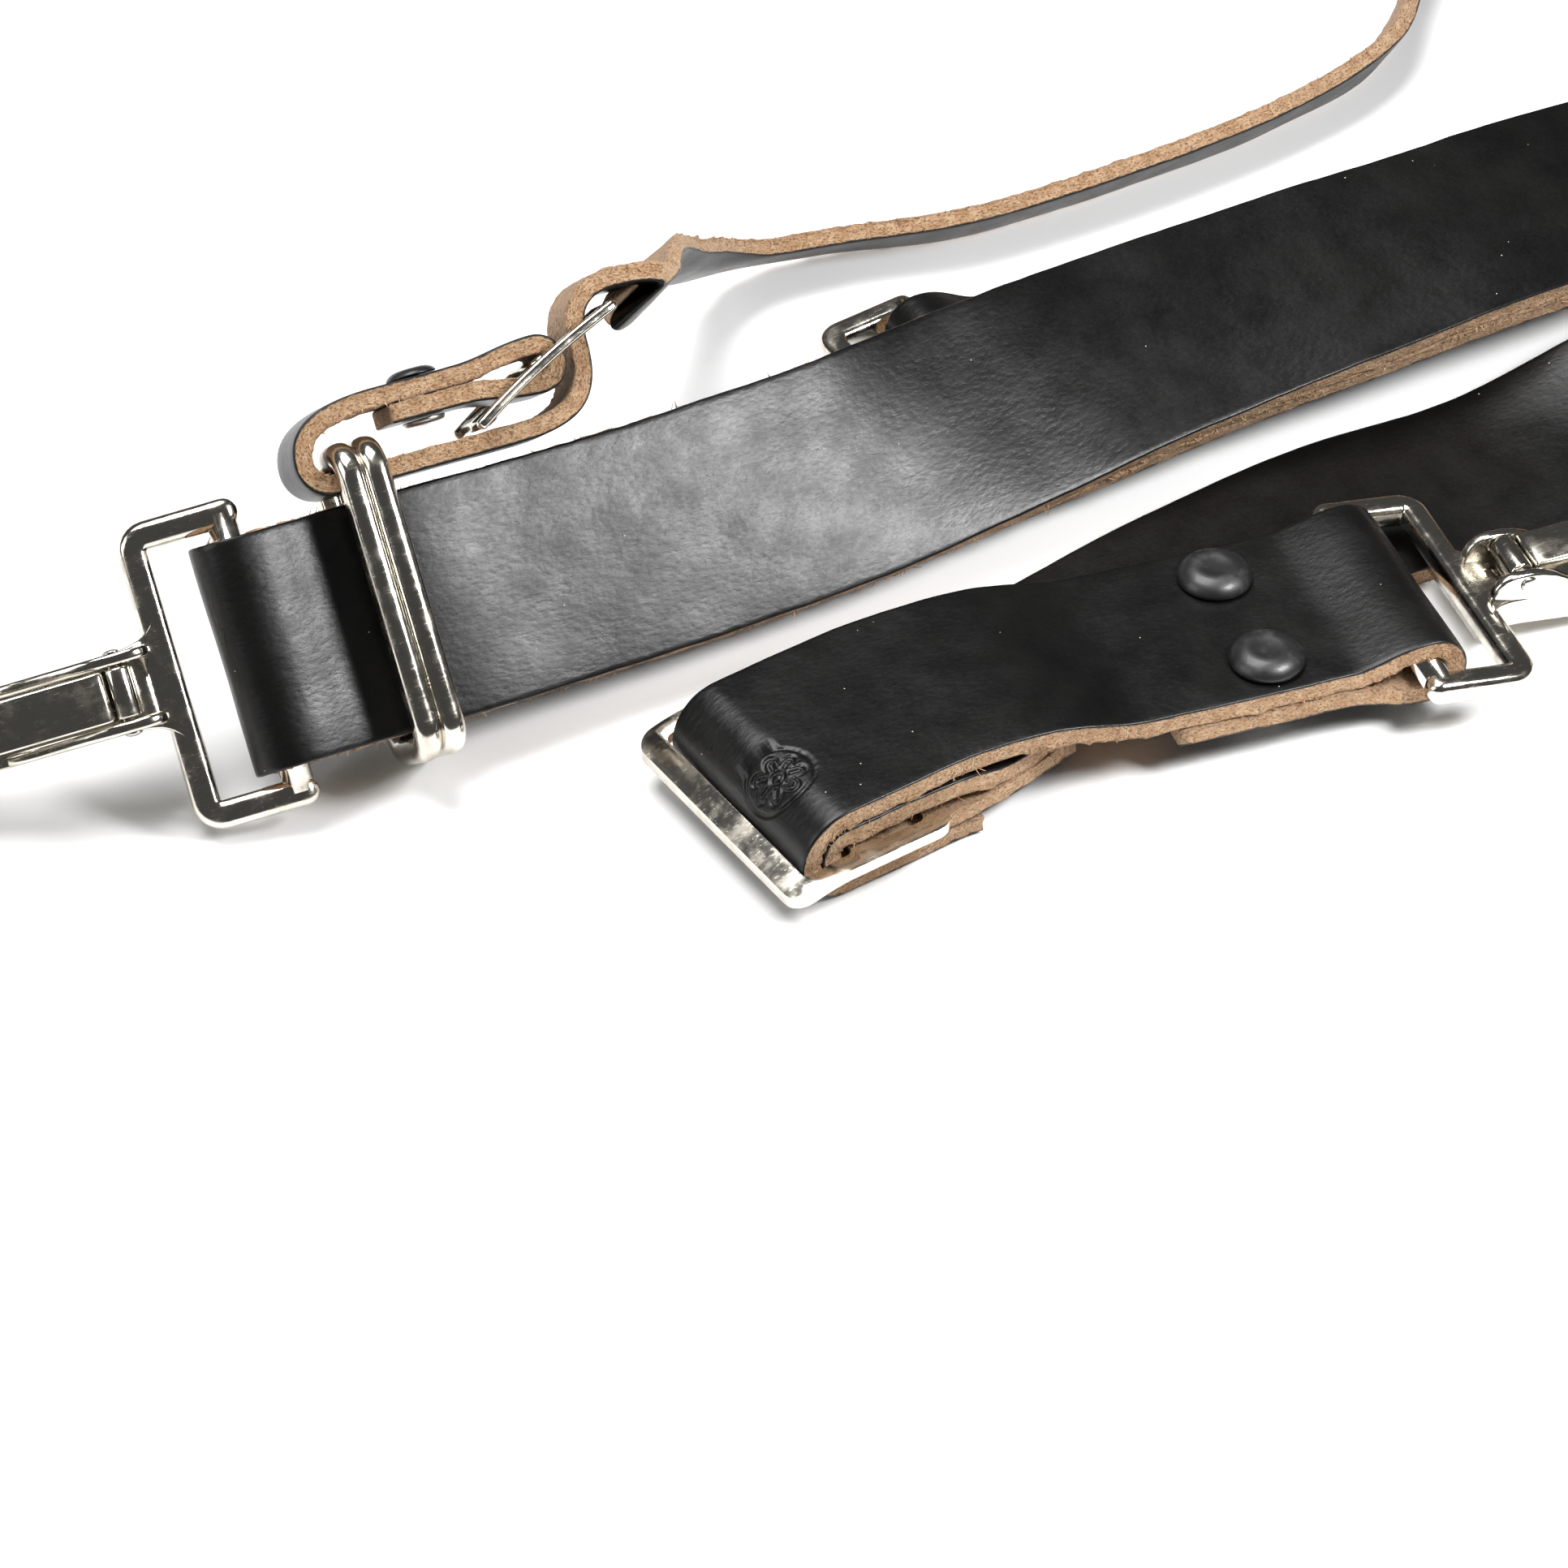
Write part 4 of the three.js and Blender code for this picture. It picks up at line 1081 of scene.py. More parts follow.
def frames_along(points: list[Vector], up: Vector, closed: bool = False) -> list[Matrix]:
    """Sweep frames along a flat path.

    Args:
        points: The path.
        up: Direction square to the path's plane, the section's Y.
        closed: Whether the path is a loop.

    Returns:
        A frame for each point.
    """
    frames = []
    count = len(points)
    for i, at in enumerate(points):
        before = points[i - 1] if i or closed else at
        after = points[(i + 1) % count] if i < count - 1 or closed else at
        go = (after - before).normalized()
        side = up.cross(go).normalized()
        made = Matrix((side, up, go)).transposed().to_4x4()
        made.translation = at
        frames.append(made)
    return frames


def rounded_path(width: float, height: float, radius: float, corner: int = 8) -> list[Vector]:
    """A rounded rectangle in the YZ plane as sweep points."""
    return [Vector((0, y, z)) for y, z in rounded_section(width, height, radius, corner)]


def domed_ends(frames: list[Matrix], reach: float, steps: int = 4) -> list[Matrix]:
    """Adds shrinking frames so that a sweep's ends are rounded.

    Args:
        frames: The sweep's frames.
        reach: How far each end grows.
        steps: Facets of the rounding.

    Returns:
        The longer list.
    """
    head, tail = [], []
    for i in range(1, steps + 1):
        a = min(i / steps, 0.985) * math.pi / 2
        small = Matrix.Scale(math.cos(a), 4)
        for group, frame, way in ((head, frames[0], -1), (tail, frames[-1], 1)):
            group.append(frame @ Matrix.Translation((0, 0, way * reach * math.sin(a))) @ small)
    return head[::-1] + frames + tail


def lathe(bm: bmesh.types.BMesh, profile: list[tuple], steps: int, matrix: Matrix) -> None:
    """Spins a profile of (radius, height) about Z.

    Args:
        bm: Mesh to add to.
        profile: The profile; a radius of 0 lies on the axis.
        steps: Facets round the axis.
        matrix: Where the result goes.
    """
    part = bmesh.new()
    verts = [part.verts.new((r, 0, z)) for r, z in profile]
    edges = [part.edges.new(pair) for pair in zip(verts, verts[1:])]
    bmesh.ops.spin(part, geom=verts + edges, cent=(0, 0, 0), axis=(0, 0, 1), angle=TAU,
                   steps=steps, use_merge=True, use_duplicate=False)
    bmesh.ops.remove_doubles(part, verts=part.verts, dist=1e-4)
    bmesh.ops.recalc_face_normals(part, faces=part.faces)
    bmesh.ops.transform(part, matrix=matrix, verts=part.verts)
    join(bm, part)


def join(bm: bmesh.types.BMesh, part: bmesh.types.BMesh) -> None:
    """Adds one bmesh to another and frees it.

    Args:
        bm: The mesh that takes the new faces.
        part: The mesh that is added, then freed.
    """
    holder = bpy.data.meshes.new("join")
    part.to_mesh(holder)
    part.free()
    bm.from_mesh(holder)
    bpy.data.meshes.remove(holder)


def plate(outline: list[tuple], thickness: float, bevel: float, segments: int = 3) -> bmesh.types.BMesh:
    """A flat plate from an outline in XY, centred on z = 0, with rounded edges.

    Args:
        outline: Points in order.
        thickness: Thickness.
        bevel: Size of the rounding.
        segments: Facets of the rounding.

    Returns:
        The plate.
    """
    part = bmesh.new()
    verts = [part.verts.new((x, y, -thickness / 2)) for x, y in outline]
    base = part.faces.new(verts)
    made = bmesh.ops.extrude_face_region(part, geom=[base])["geom"]
    top = [g for g in made if isinstance(g, bmesh.types.BMVert)]
    bmesh.ops.translate(part, vec=(0, 0, thickness), verts=top)
    if not base.is_valid:
        part.faces.new(verts)
    bmesh.ops.recalc_face_normals(part, faces=part.faces)
    rims = [e for e in part.edges if abs(e.verts[0].co.z - e.verts[1].co.z) < 1e-6]
    bmesh.ops.bevel(part, geom=rims, offset=bevel, offset_type="OFFSET", segments=segments,
                    profile=0.5, affect="EDGES", clamp_overlap=True, material=-1)
    return part


# ---- leather --------------------------------------------------------------------------------------
@dataclass
class Press:
    """A fastener that pulls the leather in round itself."""

    at: Vector
    reach: float
    depth: float


@dataclass
class Motif:
    """A stamped flower in a ring, sunk into the black side."""

    at: Vector
    radius: float = 5.4
    petals: int = 7
    line: float = 0.42
    depth: float = 0.34

    def sunk(self, x: float, y: float) -> float:
        """Depth of the stamp at a place measured from its middle.

        Args:
            x: Distance along the strap.
            y: Distance across it.

        Returns:
            The depth in millimetres.
        """
        r = math.hypot(x, y)
        if r > self.radius + 1.5:
            return 0.0
        a = math.atan2(y, x)
        petal = self.radius * (0.40 + 0.36 * abs(math.cos(a * self.petals / 2)) ** 0.7)
        far = min(abs(r - self.radius), abs(r - petal), abs(r - self.radius * 0.17))
        vein = abs(math.sin(a * self.petals / 2)) * r / (self.petals / 2)
        if self.radius * 0.3 < r < petal * 0.8:
            far = min(far, vein)
        return self.depth * max(0.0, 1.0 - (far / self.line) ** 2)


@dataclass(frozen=True)
class Wear:
    """How far cutting and wear move the leather, in millimetres."""

    sway: float = 0.34
    waver: float = 0.12
    ripple: float = 0.16
    worn_edge: float = 0.10
    crease: float = 0.14  # share of a fastener's pull
    ragged: float = 0.62
    frayed: float = 0.42
    cut: float = 0.12
    cut_rough: float = 0.30
    bevel: float = 0.42


@dataclass
class Strap:
    """A leather strap, cut flat and draped along its side profile."""

    name: str
    guide: Guide
    steps: list[Step]
    seed: int
    width: float = STRAP_WIDTH
    thickness: float = LEATHER
    black_left: bool = False
    rows: int = 14
    presses: list[Press] = field(default_factory=list)
    motif: Motif | None = None
    fibres_per_mm: float = 0.9
    wear: Wear = Wear()

    def __post_init__(self) -> None:
        """Works out the places of the strap's middle, its outward and its across directions."""
        self.middles, self.outs, self.acrosses, self.alongs = [], [], [], []
        side = 1.0 if self.black_left else -1.0
        for step in self.steps:
            along, across, off, at = (self.guide.matrix(step.s, step.n).col[i].to_3d() for i in range(4))
            self.middles.append(at)
            self.outs.append((off * step.ds - along * step.dn) * side)
            self.acrosses.append(across)
            self.alongs.append(along * step.ds + off * step.dn)
        self.runs = [step.run for step in self.steps]
        self.length = self.runs[-1]

    def span(self, run: float) -> tuple[int, float]:
        """Step before a run length and the part of the way to the next.

        Args:
            run: Length along the flat strap.

        Returns:
            The step before it and the part of the way to the next.
        """
        low, high = 0, len(self.runs) - 1
        while high - low > 1:
            mid = (low + high) // 2
            if self.runs[mid] <= run:
                low = mid
            else:
                high = mid
        return low, (run - self.runs[low]) / max(self.runs[low + 1] - self.runs[low], 1e-6)

    def axes(self, run: float) -> tuple[Vector, Vector, Vector, Vector]:
        """Middle, outward, across and along at a run length."""
        i, part = self.span(run)
        lists = (self.middles, self.outs, self.acrosses, self.alongs)
        return tuple(group[i].lerp(group[i + 1], part) for group in lists)

    def drape(self, x: float, y: float, z: float) -> Vector:
        """Place of a point of the flat strap.

        Args:
            x: Length along the flat strap.
            y: Distance across it.
            z: Distance from its middle towards the black side.

        Returns:
            The place in layout millimetres.
        """
        middle, out, across, _ = self.axes(x)
        return middle + out * z + across * y

    def flat_place(self, at: Vector) -> tuple[float, float]:
        """Run length and distance across of a point on the black side.

        Args:
            at: The point in layout millimetres.

        Returns:
            The run length and the distance across.
        """
        half = self.thickness / 2
        best = min(range(len(self.runs)),
                   key=lambda i: abs((at - self.middles[i]).dot(self.alongs[i]))
                   + abs((at - self.middles[i]).dot(self.outs[i]) - half) * 3
                   + (1e6 if abs((at - self.middles[i]).dot(self.acrosses[i])) > self.width else 0))
        return self.runs[best], (at - self.middles[best]).dot(self.acrosses[best])

    def blank(self) -> bmesh.types.BMesh:
        """The flat strap: X along, Y across, Z towards the black side.

        Returns:
            The mesh of the flat strap.
        """
        bm = bmesh.new()
        count = len(self.runs) - 1
        bmesh.ops.create_grid(bm, x_segments=count, y_segments=self.rows, size=0.5)
        half, rim = self.width / 2, 1.1
        for vert in bm.verts:
            column = round((vert.co.x + 0.5) * count)
            row = round((vert.co.y + 0.5) * self.rows)
            inner = (row - 1) / (self.rows - 2) * 2 - 1
            y = -half if row == 0 else half if row == self.rows else inner * (half - rim)
            vert.co = (self.runs[column], y, 0)
        made = bmesh.ops.extrude_face_region(bm, geom=bm.faces[:], use_keep_orig=True)["geom"]
        top = [g for g in made if isinstance(g, bmesh.types.BMVert)]
        bmesh.ops.translate(bm, vec=(0, 0, self.thickness), verts=top)
        bmesh.ops.translate(bm, vec=(0, 0, -self.thickness / 2), verts=bm.verts)
        bmesh.ops.recalc_face_normals(bm, faces=bm.faces)
        self.refine(bm)
        return bm

    def refine(self, bm: bmesh.types.BMesh) -> None:
        """Divides the cut edges, rounds the corners and divides the stamped place.

        Args:
            bm: The flat strap.
        """
        upright = [e for e in bm.edges if abs(e.verts[0].co.z - e.verts[1].co.z) > self.thickness * 0.9]
        bmesh.ops.subdivide_edges(bm, edges=upright, cuts=3, use_grid_fill=True)
        corners = [e for e in bm.edges if len(e.link_faces) == 2 and e.calc_face_angle(0) > SHARP
                   and abs(e.verts[0].co.z - e.verts[1].co.z) < 1e-4]
        bmesh.ops.bevel(bm, geom=corners, offset=self.wear.bevel, offset_type="OFFSET", segments=3,
                        profile=0.5, affect="EDGES", clamp_overlap=True, material=-1)
        if self.motif:
            x0, y0 = self.flat_place(self.motif.at)
            reach = self.motif.radius + 1.0
            near = [f for f in bm.faces if f.normal.z > 0.9
                    and abs(f.calc_center_median().x - x0) < reach
                    and abs(f.calc_center_median().y - y0) < reach]
            edges = list({e for f in near for e in f.edges})
            wide = [e for e in edges if abs(e.verts[0].co.y - e.verts[1].co.y) > 1e-3]
            bmesh.ops.subdivide_edges(bm, edges=wide, cuts=11, use_grid_fill=True)
            near = [f for f in bm.faces if f.normal.z > 0.9
                    and abs(f.calc_center_median().x - x0) < reach
                    and abs(f.calc_center_median().y - y0) < reach]
            long = list({e for f in near for e in f.edges
                         if abs(e.verts[0].co.x - e.verts[1].co.x) > 0.5})
            bmesh.ops.subdivide_edges(bm, edges=long, cuts=4, use_grid_fill=True)

    def worn(self, flat: Vector, presses: list[tuple]) -> Vector:
        """Moves a point of the flat strap as cutting, wear and fasteners leave it.

        Args:
            flat: The point.
            presses: Run length, distance across, reach and depth of each fastener.

        Returns:
            The moved point.
        """
        x, y, z = flat
        wear = self.wear
        half, thick = self.width / 2, self.thickness
        near = half - abs(y)
        level = z / thick + 0.5
        edge = max(0.0, 1.0 - near / 3.0)
        way = math.copysign(1.0, y)
        sway = noise.noise((x * 0.035, way * 3.1, self.seed)) * wear.sway
        sway += noise.noise((x * 0.21, way * 5.7, self.seed)) * wear.waver
        y += sway * edge * way
        if level > 0.5:
            z += noise.noise((x * 0.07, y * 0.09, self.seed + 9.5)) * wear.ripple
            z -= edge ** 3 * wear.worn_edge
            for px, py, reach, depth in presses:
                r = math.hypot(x - px, y - py) / reach
                if r < 3:
                    z -= depth * math.exp(-r * r)
                    z -= depth * wear.crease * math.exp(-r * r * 0.5) * math.sin(
                        math.atan2(y - py, x - px) * 7 + px) * min(r, 1.0)
        elif near < 1.5:
            rag = noise.noise((x * 0.75, way * 2.3 + z, self.seed + 3.5))
            rag += 0.6 * noise.noise((x * 1.9, way * 1.3 + z, self.seed + 6.5))
            low = max(0.0, 1.0 - level * 2.4)
            y += way * rag * wear.ragged * low * min(1.0, edge * 2)
            z -= abs(rag) * wear.frayed * low * min(1.0, edge * 2)
        if near < 0.05 and 0.1 < level < 0.9:
            rough = noise.noise((x * 1.4, z * 1.7, self.seed + 1.5))
            y -= way * (wear.cut + wear.cut_rough * rough)
        return Vector((x, y, z))

    def leather(self, finishes: Finishes) -> bpy.types.Object:
        """Builds and dresses the strap.

        Args:
            finishes: The finishes.

        Returns:
            The dressed object.
        """
        bm = self.blank()
        presses = [(*self.flat_place(p.at), p.reach, p.depth) for p in self.presses]
        stamp = (*self.flat_place(self.motif.at), self.motif) if self.motif else None
        flat = bm.verts.layers.float_vector.new("flat")
        level = bm.verts.layers.float.new("level")
        for face in bm.faces:
            face.material_index = 0 if face.normal.z > 0.35 else 1
        for vert in bm.verts:
            vert[flat] = vert.co
            vert[level] = vert.co.z / self.thickness + 0.5
            at = self.worn(vert.co, presses)
            if stamp and vert.co.z > 0:
                at.z -= stamp[2].sunk(vert.co.x - stamp[0], vert.co.y - stamp[1])
            vert.co = self.drape(*at)
        bmesh.ops.recalc_face_normals(bm, faces=bm.faces)
        nodes = [self.name]
        return finished(bm, f"{self.name}_leather", "straps", nodes,
                        [finishes.grain, finishes.raw])

    def fibres(self, finishes: Finishes) -> bpy.types.Object:
        """Loose fibres that stand out along both lower rims.

        Args:
            finishes: The finishes.

        Returns:
            The dressed object.
        """
        random = Random(self.seed * 101 + 7)
        bm = bmesh.new()
        template = fibre_mesh()
        for _ in range(int(self.length * 2 * self.fibres_per_mm)):
            x = random.uniform(1.0, self.length - 1.0)
            if noise.noise((x * 0.09, self.seed, 4.5)) < random.uniform(-0.45, 0.15):
                continue
            way = random.choice((-1, 1))
            level = random.random() ** 2.2 * 0.5
            root = self.drape(x, way * (self.width / 2 - 0.12), (level - 0.5) * self.thickness * 0.94)
            _, out, across, along = self.axes(x)
            go = across * way * random.uniform(0.25, 1.0) - out * random.uniform(0.0, 0.7)
            go += along * random.uniform(-1.1, 1.1)
            size = 0.35 + random.random() ** 3 * 1.5
            turn = go.to_track_quat("Z", "Y").to_matrix().to_4x4()
            turn = turn @ Matrix.Rotation(random.uniform(0, TAU), 4, "Z")
            thick = random.uniform(0.7, 1.7)
            scale = Matrix.Diagonal((thick, thick, size, 1))
            start = len(bm.verts)
            bm.from_mesh(template)
            bm.verts.ensure_lookup_table()
            place = Matrix.Translation(root) @ turn @ scale
            for i in range(start, len(bm.verts)):
                bm.verts[i].co = place @ bm.verts[i].co
        return finished(bm, f"{self.name}_fibres", "straps", [], [finishes.fibre])


def fibre_mesh() -> bpy.types.Mesh:
    """One bent fibre of unit length along Z.

    Returns:
        The fibre, standing up from the origin.
    """
    bm = bmesh.new()
    bmesh.ops.create_cone(bm, cap_ends=True, segments=3, radius1=0.10, radius2=0.025, depth=1.0,
                          matrix=Matrix.Translation((0, 0, 0.5)))
    long = [e for e in bm.edges if abs(e.verts[0].co.z - e.verts[1].co.z) > 0.5]
    bmesh.ops.subdivide_edges(bm, edges=long, cuts=2)
    for vert in bm.verts:
        vert.co.x += 0.35 * vert.co.z ** 2
    mesh = bpy.data.meshes.new("fibre")
    bm.to_mesh(mesh)
    bm.free()
    return mesh


@dataclass
class Yoke:
    """Two shaped patches with a creased border that hold the straps at the back."""

    wide: float = 2 * STRAP_WIDTH + 8
    narrow: float = STRAP_WIDTH + 5
    crease: float = 2.6
    groove: float = 0.9

    def outline(self) -> list[tuple]:
        """The patch's outline in layout millimetres.

        Returns:
            The corners, as X and Y.
        """
        x0, x1, x2 = YOKE_START, YOKE_START + YOKE_WIDE, YOKE_START + YOKE_WIDE + YOKE_TAPER
        w, n = self.wide / 2, self.narrow / 2
        points = [Vector((x0 + 6, -w))]

        def bend(*handles: tuple) -> None:
            """Adds a curve from the last point through its handles."""
            chain = [points[-1]] + [Vector(h) for h in handles]
            for i in range(1, 13):
                level = chain
                while len(level) > 1:
                    level = [p.lerp(q, i / 12) for p, q in zip(level, level[1:])]
                points.append(level[0])

        points.append(Vector((x1 - 6, -w)))
        bend((x1 + 8, -w), (x1 + 6, -n), (x2 - 10, -n))
        bend((x2, -n), (x2, -n + 10))
        points.append(Vector((x2, n - 10)))
        bend((x2, n), (x2 - 10, n))
        bend((x1 + 6, n), (x1 + 8, w), (x1 - 6, w))
        points.append(Vector((x0 + 6, w)))
        bend((x0, w), (x0, w - 6))
        bend((x0 + 12, 0), (x0, -w + 6))
        bend((x0, -w), (x0 + 6, -w))
        return [(p.x, p.y + YOKE_Y) for p in points[:-1]]

    def patch(self, name: str, level: float, upward: bool, finishes: Finishes) -> bpy.types.Object:
        """Builds and dresses one patch.

        Args:
            name: CAD node and name of the piece.
            level: Height of its underside.
            upward: Whether its black side is up.
            finishes: The finishes.

        Returns:
            The patch.
        """
        bm = plate(self.outline(), YOKE_PATCH, 0.5)
        way = 1.0 if upward else -1.0
        face = max(bm.faces, key=lambda f: f.calc_area() * f.normal.z * way)
        rings = []
        for inset in (self.crease, self.groove / 2, self.groove / 2):
            bmesh.ops.inset_region(bm, faces=[face], thickness=inset, use_even_offset=True)
            rings.append(list(face.verts))
        bmesh.ops.translate(bm, vec=(0, 0, -0.4 * way), verts=rings[1])
        flat = bm.verts.layers.float_vector.new("flat")
        depth = bm.verts.layers.float.new("level")
        for part in bm.faces:
            part.material_index = 0 if part.normal.z * way > 0.35 else 1
        for vert in bm.verts:
            vert[flat] = vert.co
            vert[depth] = vert.co.z * way / YOKE_PATCH + 0.5
        bmesh.ops.translate(bm, vec=(0, 0, level + YOKE_PATCH / 2), verts=bm.verts)
        return finished(bm, f"{name}_leather", "straps", [name],
                        [finishes.grain, finishes.raw])


# ---- fasteners ------------------------------------------------------------------------------------
@dataclass(frozen=True)
class Fastener:
    """A snap or rivet: a domed cap on the black side and a ring on the far side."""

    cap: float
    dome: float
    stem: float
    ring: float
    ring_height: float
    facets: int = 44

    def cap_profile(self) -> list[tuple]:
        """Radius and height down the cap, from its middle to its stem's foot.

        Returns:
            The corners of the profile.
        """
        r, h = self.cap, self.dome
        points = [(0, 0.930), (0.12, 0.932), (0.22, 0.940), (0.30, 0.957), (0.37, 0.980), (0.42, 0.994),
                  (0.48, 1.0), (0.56, 0.985), (0.65, 0.940), (0.74, 0.855), (0.83, 0.735),
                  (0.90, 0.595), (0.95, 0.45), (0.985, 0.31), (1.0, 0.19)]
        profile = [(r * x, h * z) for x, z in points]
        low = GAP / 2
        return profile + [(r * 0.985, low + 0.05), (r * 0.95, low), (self.stem, low),
                          (self.stem, -1.2), (self.stem * 0.9, -1.3), (0, -1.3)]

    def ring_profile(self, depth: float) -> list[tuple]:
        """Radius and height round the ring's section.

        Args:
            depth: Thickness of the leather that it holds.

        Returns:
            The corners of the profile.
        """
        high, low = -depth - GAP / 2, -depth - self.ring_height
        r, hole = self.ring, self.stem + 0.06
        return [(0, low + 0.55), (hole * 0.72, low + 0.5), (hole, low + 0.22), (hole + 0.35, low),
                (r * 0.74, low), (r * 0.9, low + self.ring_height * 0.14),
                (r * 0.98, low + self.ring_height * 0.36), (r, low + self.ring_height * 0.6),
                (r, high), (0, high)]

    def build(self, name: str, matrix: Matrix, depth: float, finishes: Finishes) -> None:
        """Builds and dresses the cap and the ring.

        Args:
            name: Name of the fastener.
            matrix: Frame with Z up out of the leather at the cap.
            depth: Thickness of leather held.
            finishes: The finishes.
        """
        cap = bmesh.new()
        lathe(cap, self.cap_profile(), self.facets, matrix)
        finished(cap, f"{name}_cap_dome", "straps", [f"{name}_cap"], [finishes.enamel])
        ring = bmesh.new()
        lathe(ring, self.ring_profile(depth), self.facets, matrix)
        finished(ring, f"{name}_ring_socket", "straps", [f"{name}_ring"], [finishes.steel])


SNAP = Fastener(6.3, 2.9, 1.8, 5.0, 1.9)
RIVET = Fastener(4.2, 1.5, 1.3, 3.6, 1.1, 32)
TWO_LAYERS = LAYER + LEATHER
YOKE_DEPTH = YOKE_FRONT + YOKE_PATCH - YOKE_BACK
YOKE_RIVETS = ((14, 31), (14, -31), (YOKE_WIDE - 10, 19), (YOKE_WIDE - 10, -19),
               (YOKE_WIDE + 26, 12), (YOKE_WIDE + 26, -12))


@dataclass(frozen=True)
class Placed:
    """A fastener in its place."""

    name: str
    kind: Fastener
    matrix: Matrix
    depth: float


def placed_fasteners() -> list[Placed]:
    """Every snap and rivet with its frame.

    Returns:
        Every snap and rivet.
    """
    made = []
    for i, w in ((1, 11.0), (2, -11.0)):
        tops = (("snap_tab", SNAP, TAB, TAB_SNAPS, TAB_LEVEL + LAYER / 2 + LEATHER / 2),
                ("snap_left", SNAP, LEFT, LEFT_TAIL - 14, LEATHER / 2),
                ("snap_back", SNAP, BACK, BACK_SNAPS, FLOOR_LAYER + LAYER + LEATHER / 2),
                ("rivet_loop", RIVET, RIGHT, SLIDE_AT + 34, RIGHT_TAIL_LEVEL + LAYER + LEATHER / 2))
        for name, kind, guide, s, top in tops:
            made.append(Placed(f"{name}_{i}", kind, guide.matrix(s, top, w), TWO_LAYERS))
    over = Matrix.Rotation(math.pi, 4, "X")
    top = BAR_LOOP + CROSS_LAYER + CROSS_LEATHER / 2
    for i, s in ((1, CROSS_START + CROSS_RIVET), (2, CROSS_END - CROSS_RIVET)):
        made.append(Placed(f"rivet_cross_{i}", RIVET, CROSS.matrix(s, -top) @ over,
                           CROSS_LAYER + CROSS_LEATHER))
    for i, (x, y) in enumerate(YOKE_RIVETS, 1):
        at = Matrix.Translation((YOKE_START + x, YOKE_Y + y, YOKE_FRONT + YOKE_PATCH))
        made.append(Placed(f"rivet_yoke_{i}", RIVET, at, YOKE_DEPTH))
    return made


# ---- hardware -------------------------------------------------------------------------------------
class HookPlace(Enum):
    """The three hooks: name, strap guide, place, level, pitch and whether it points back."""

    LEFT = "left"
    TAB = "tab"
    BACK = "back"

    def matrix(self) -> Matrix:
        """The hook's own frame.

        Returns:
            The frame, in layout millimetres.
        """
        if self is HookPlace.LEFT:
            return pitched(LEFT.matrix(LEFT_FOLD, -LAYER / 2), LEFT_PITCH, True)
        if self is HookPlace.TAB:
            return pitched(TAB.matrix(TAB_FOLD, TAB_LEVEL), TAB_PITCH, False)
        return pitched(BACK.matrix(BACK_FOLD, BACK_LEVEL), BACK_PITCH, True)


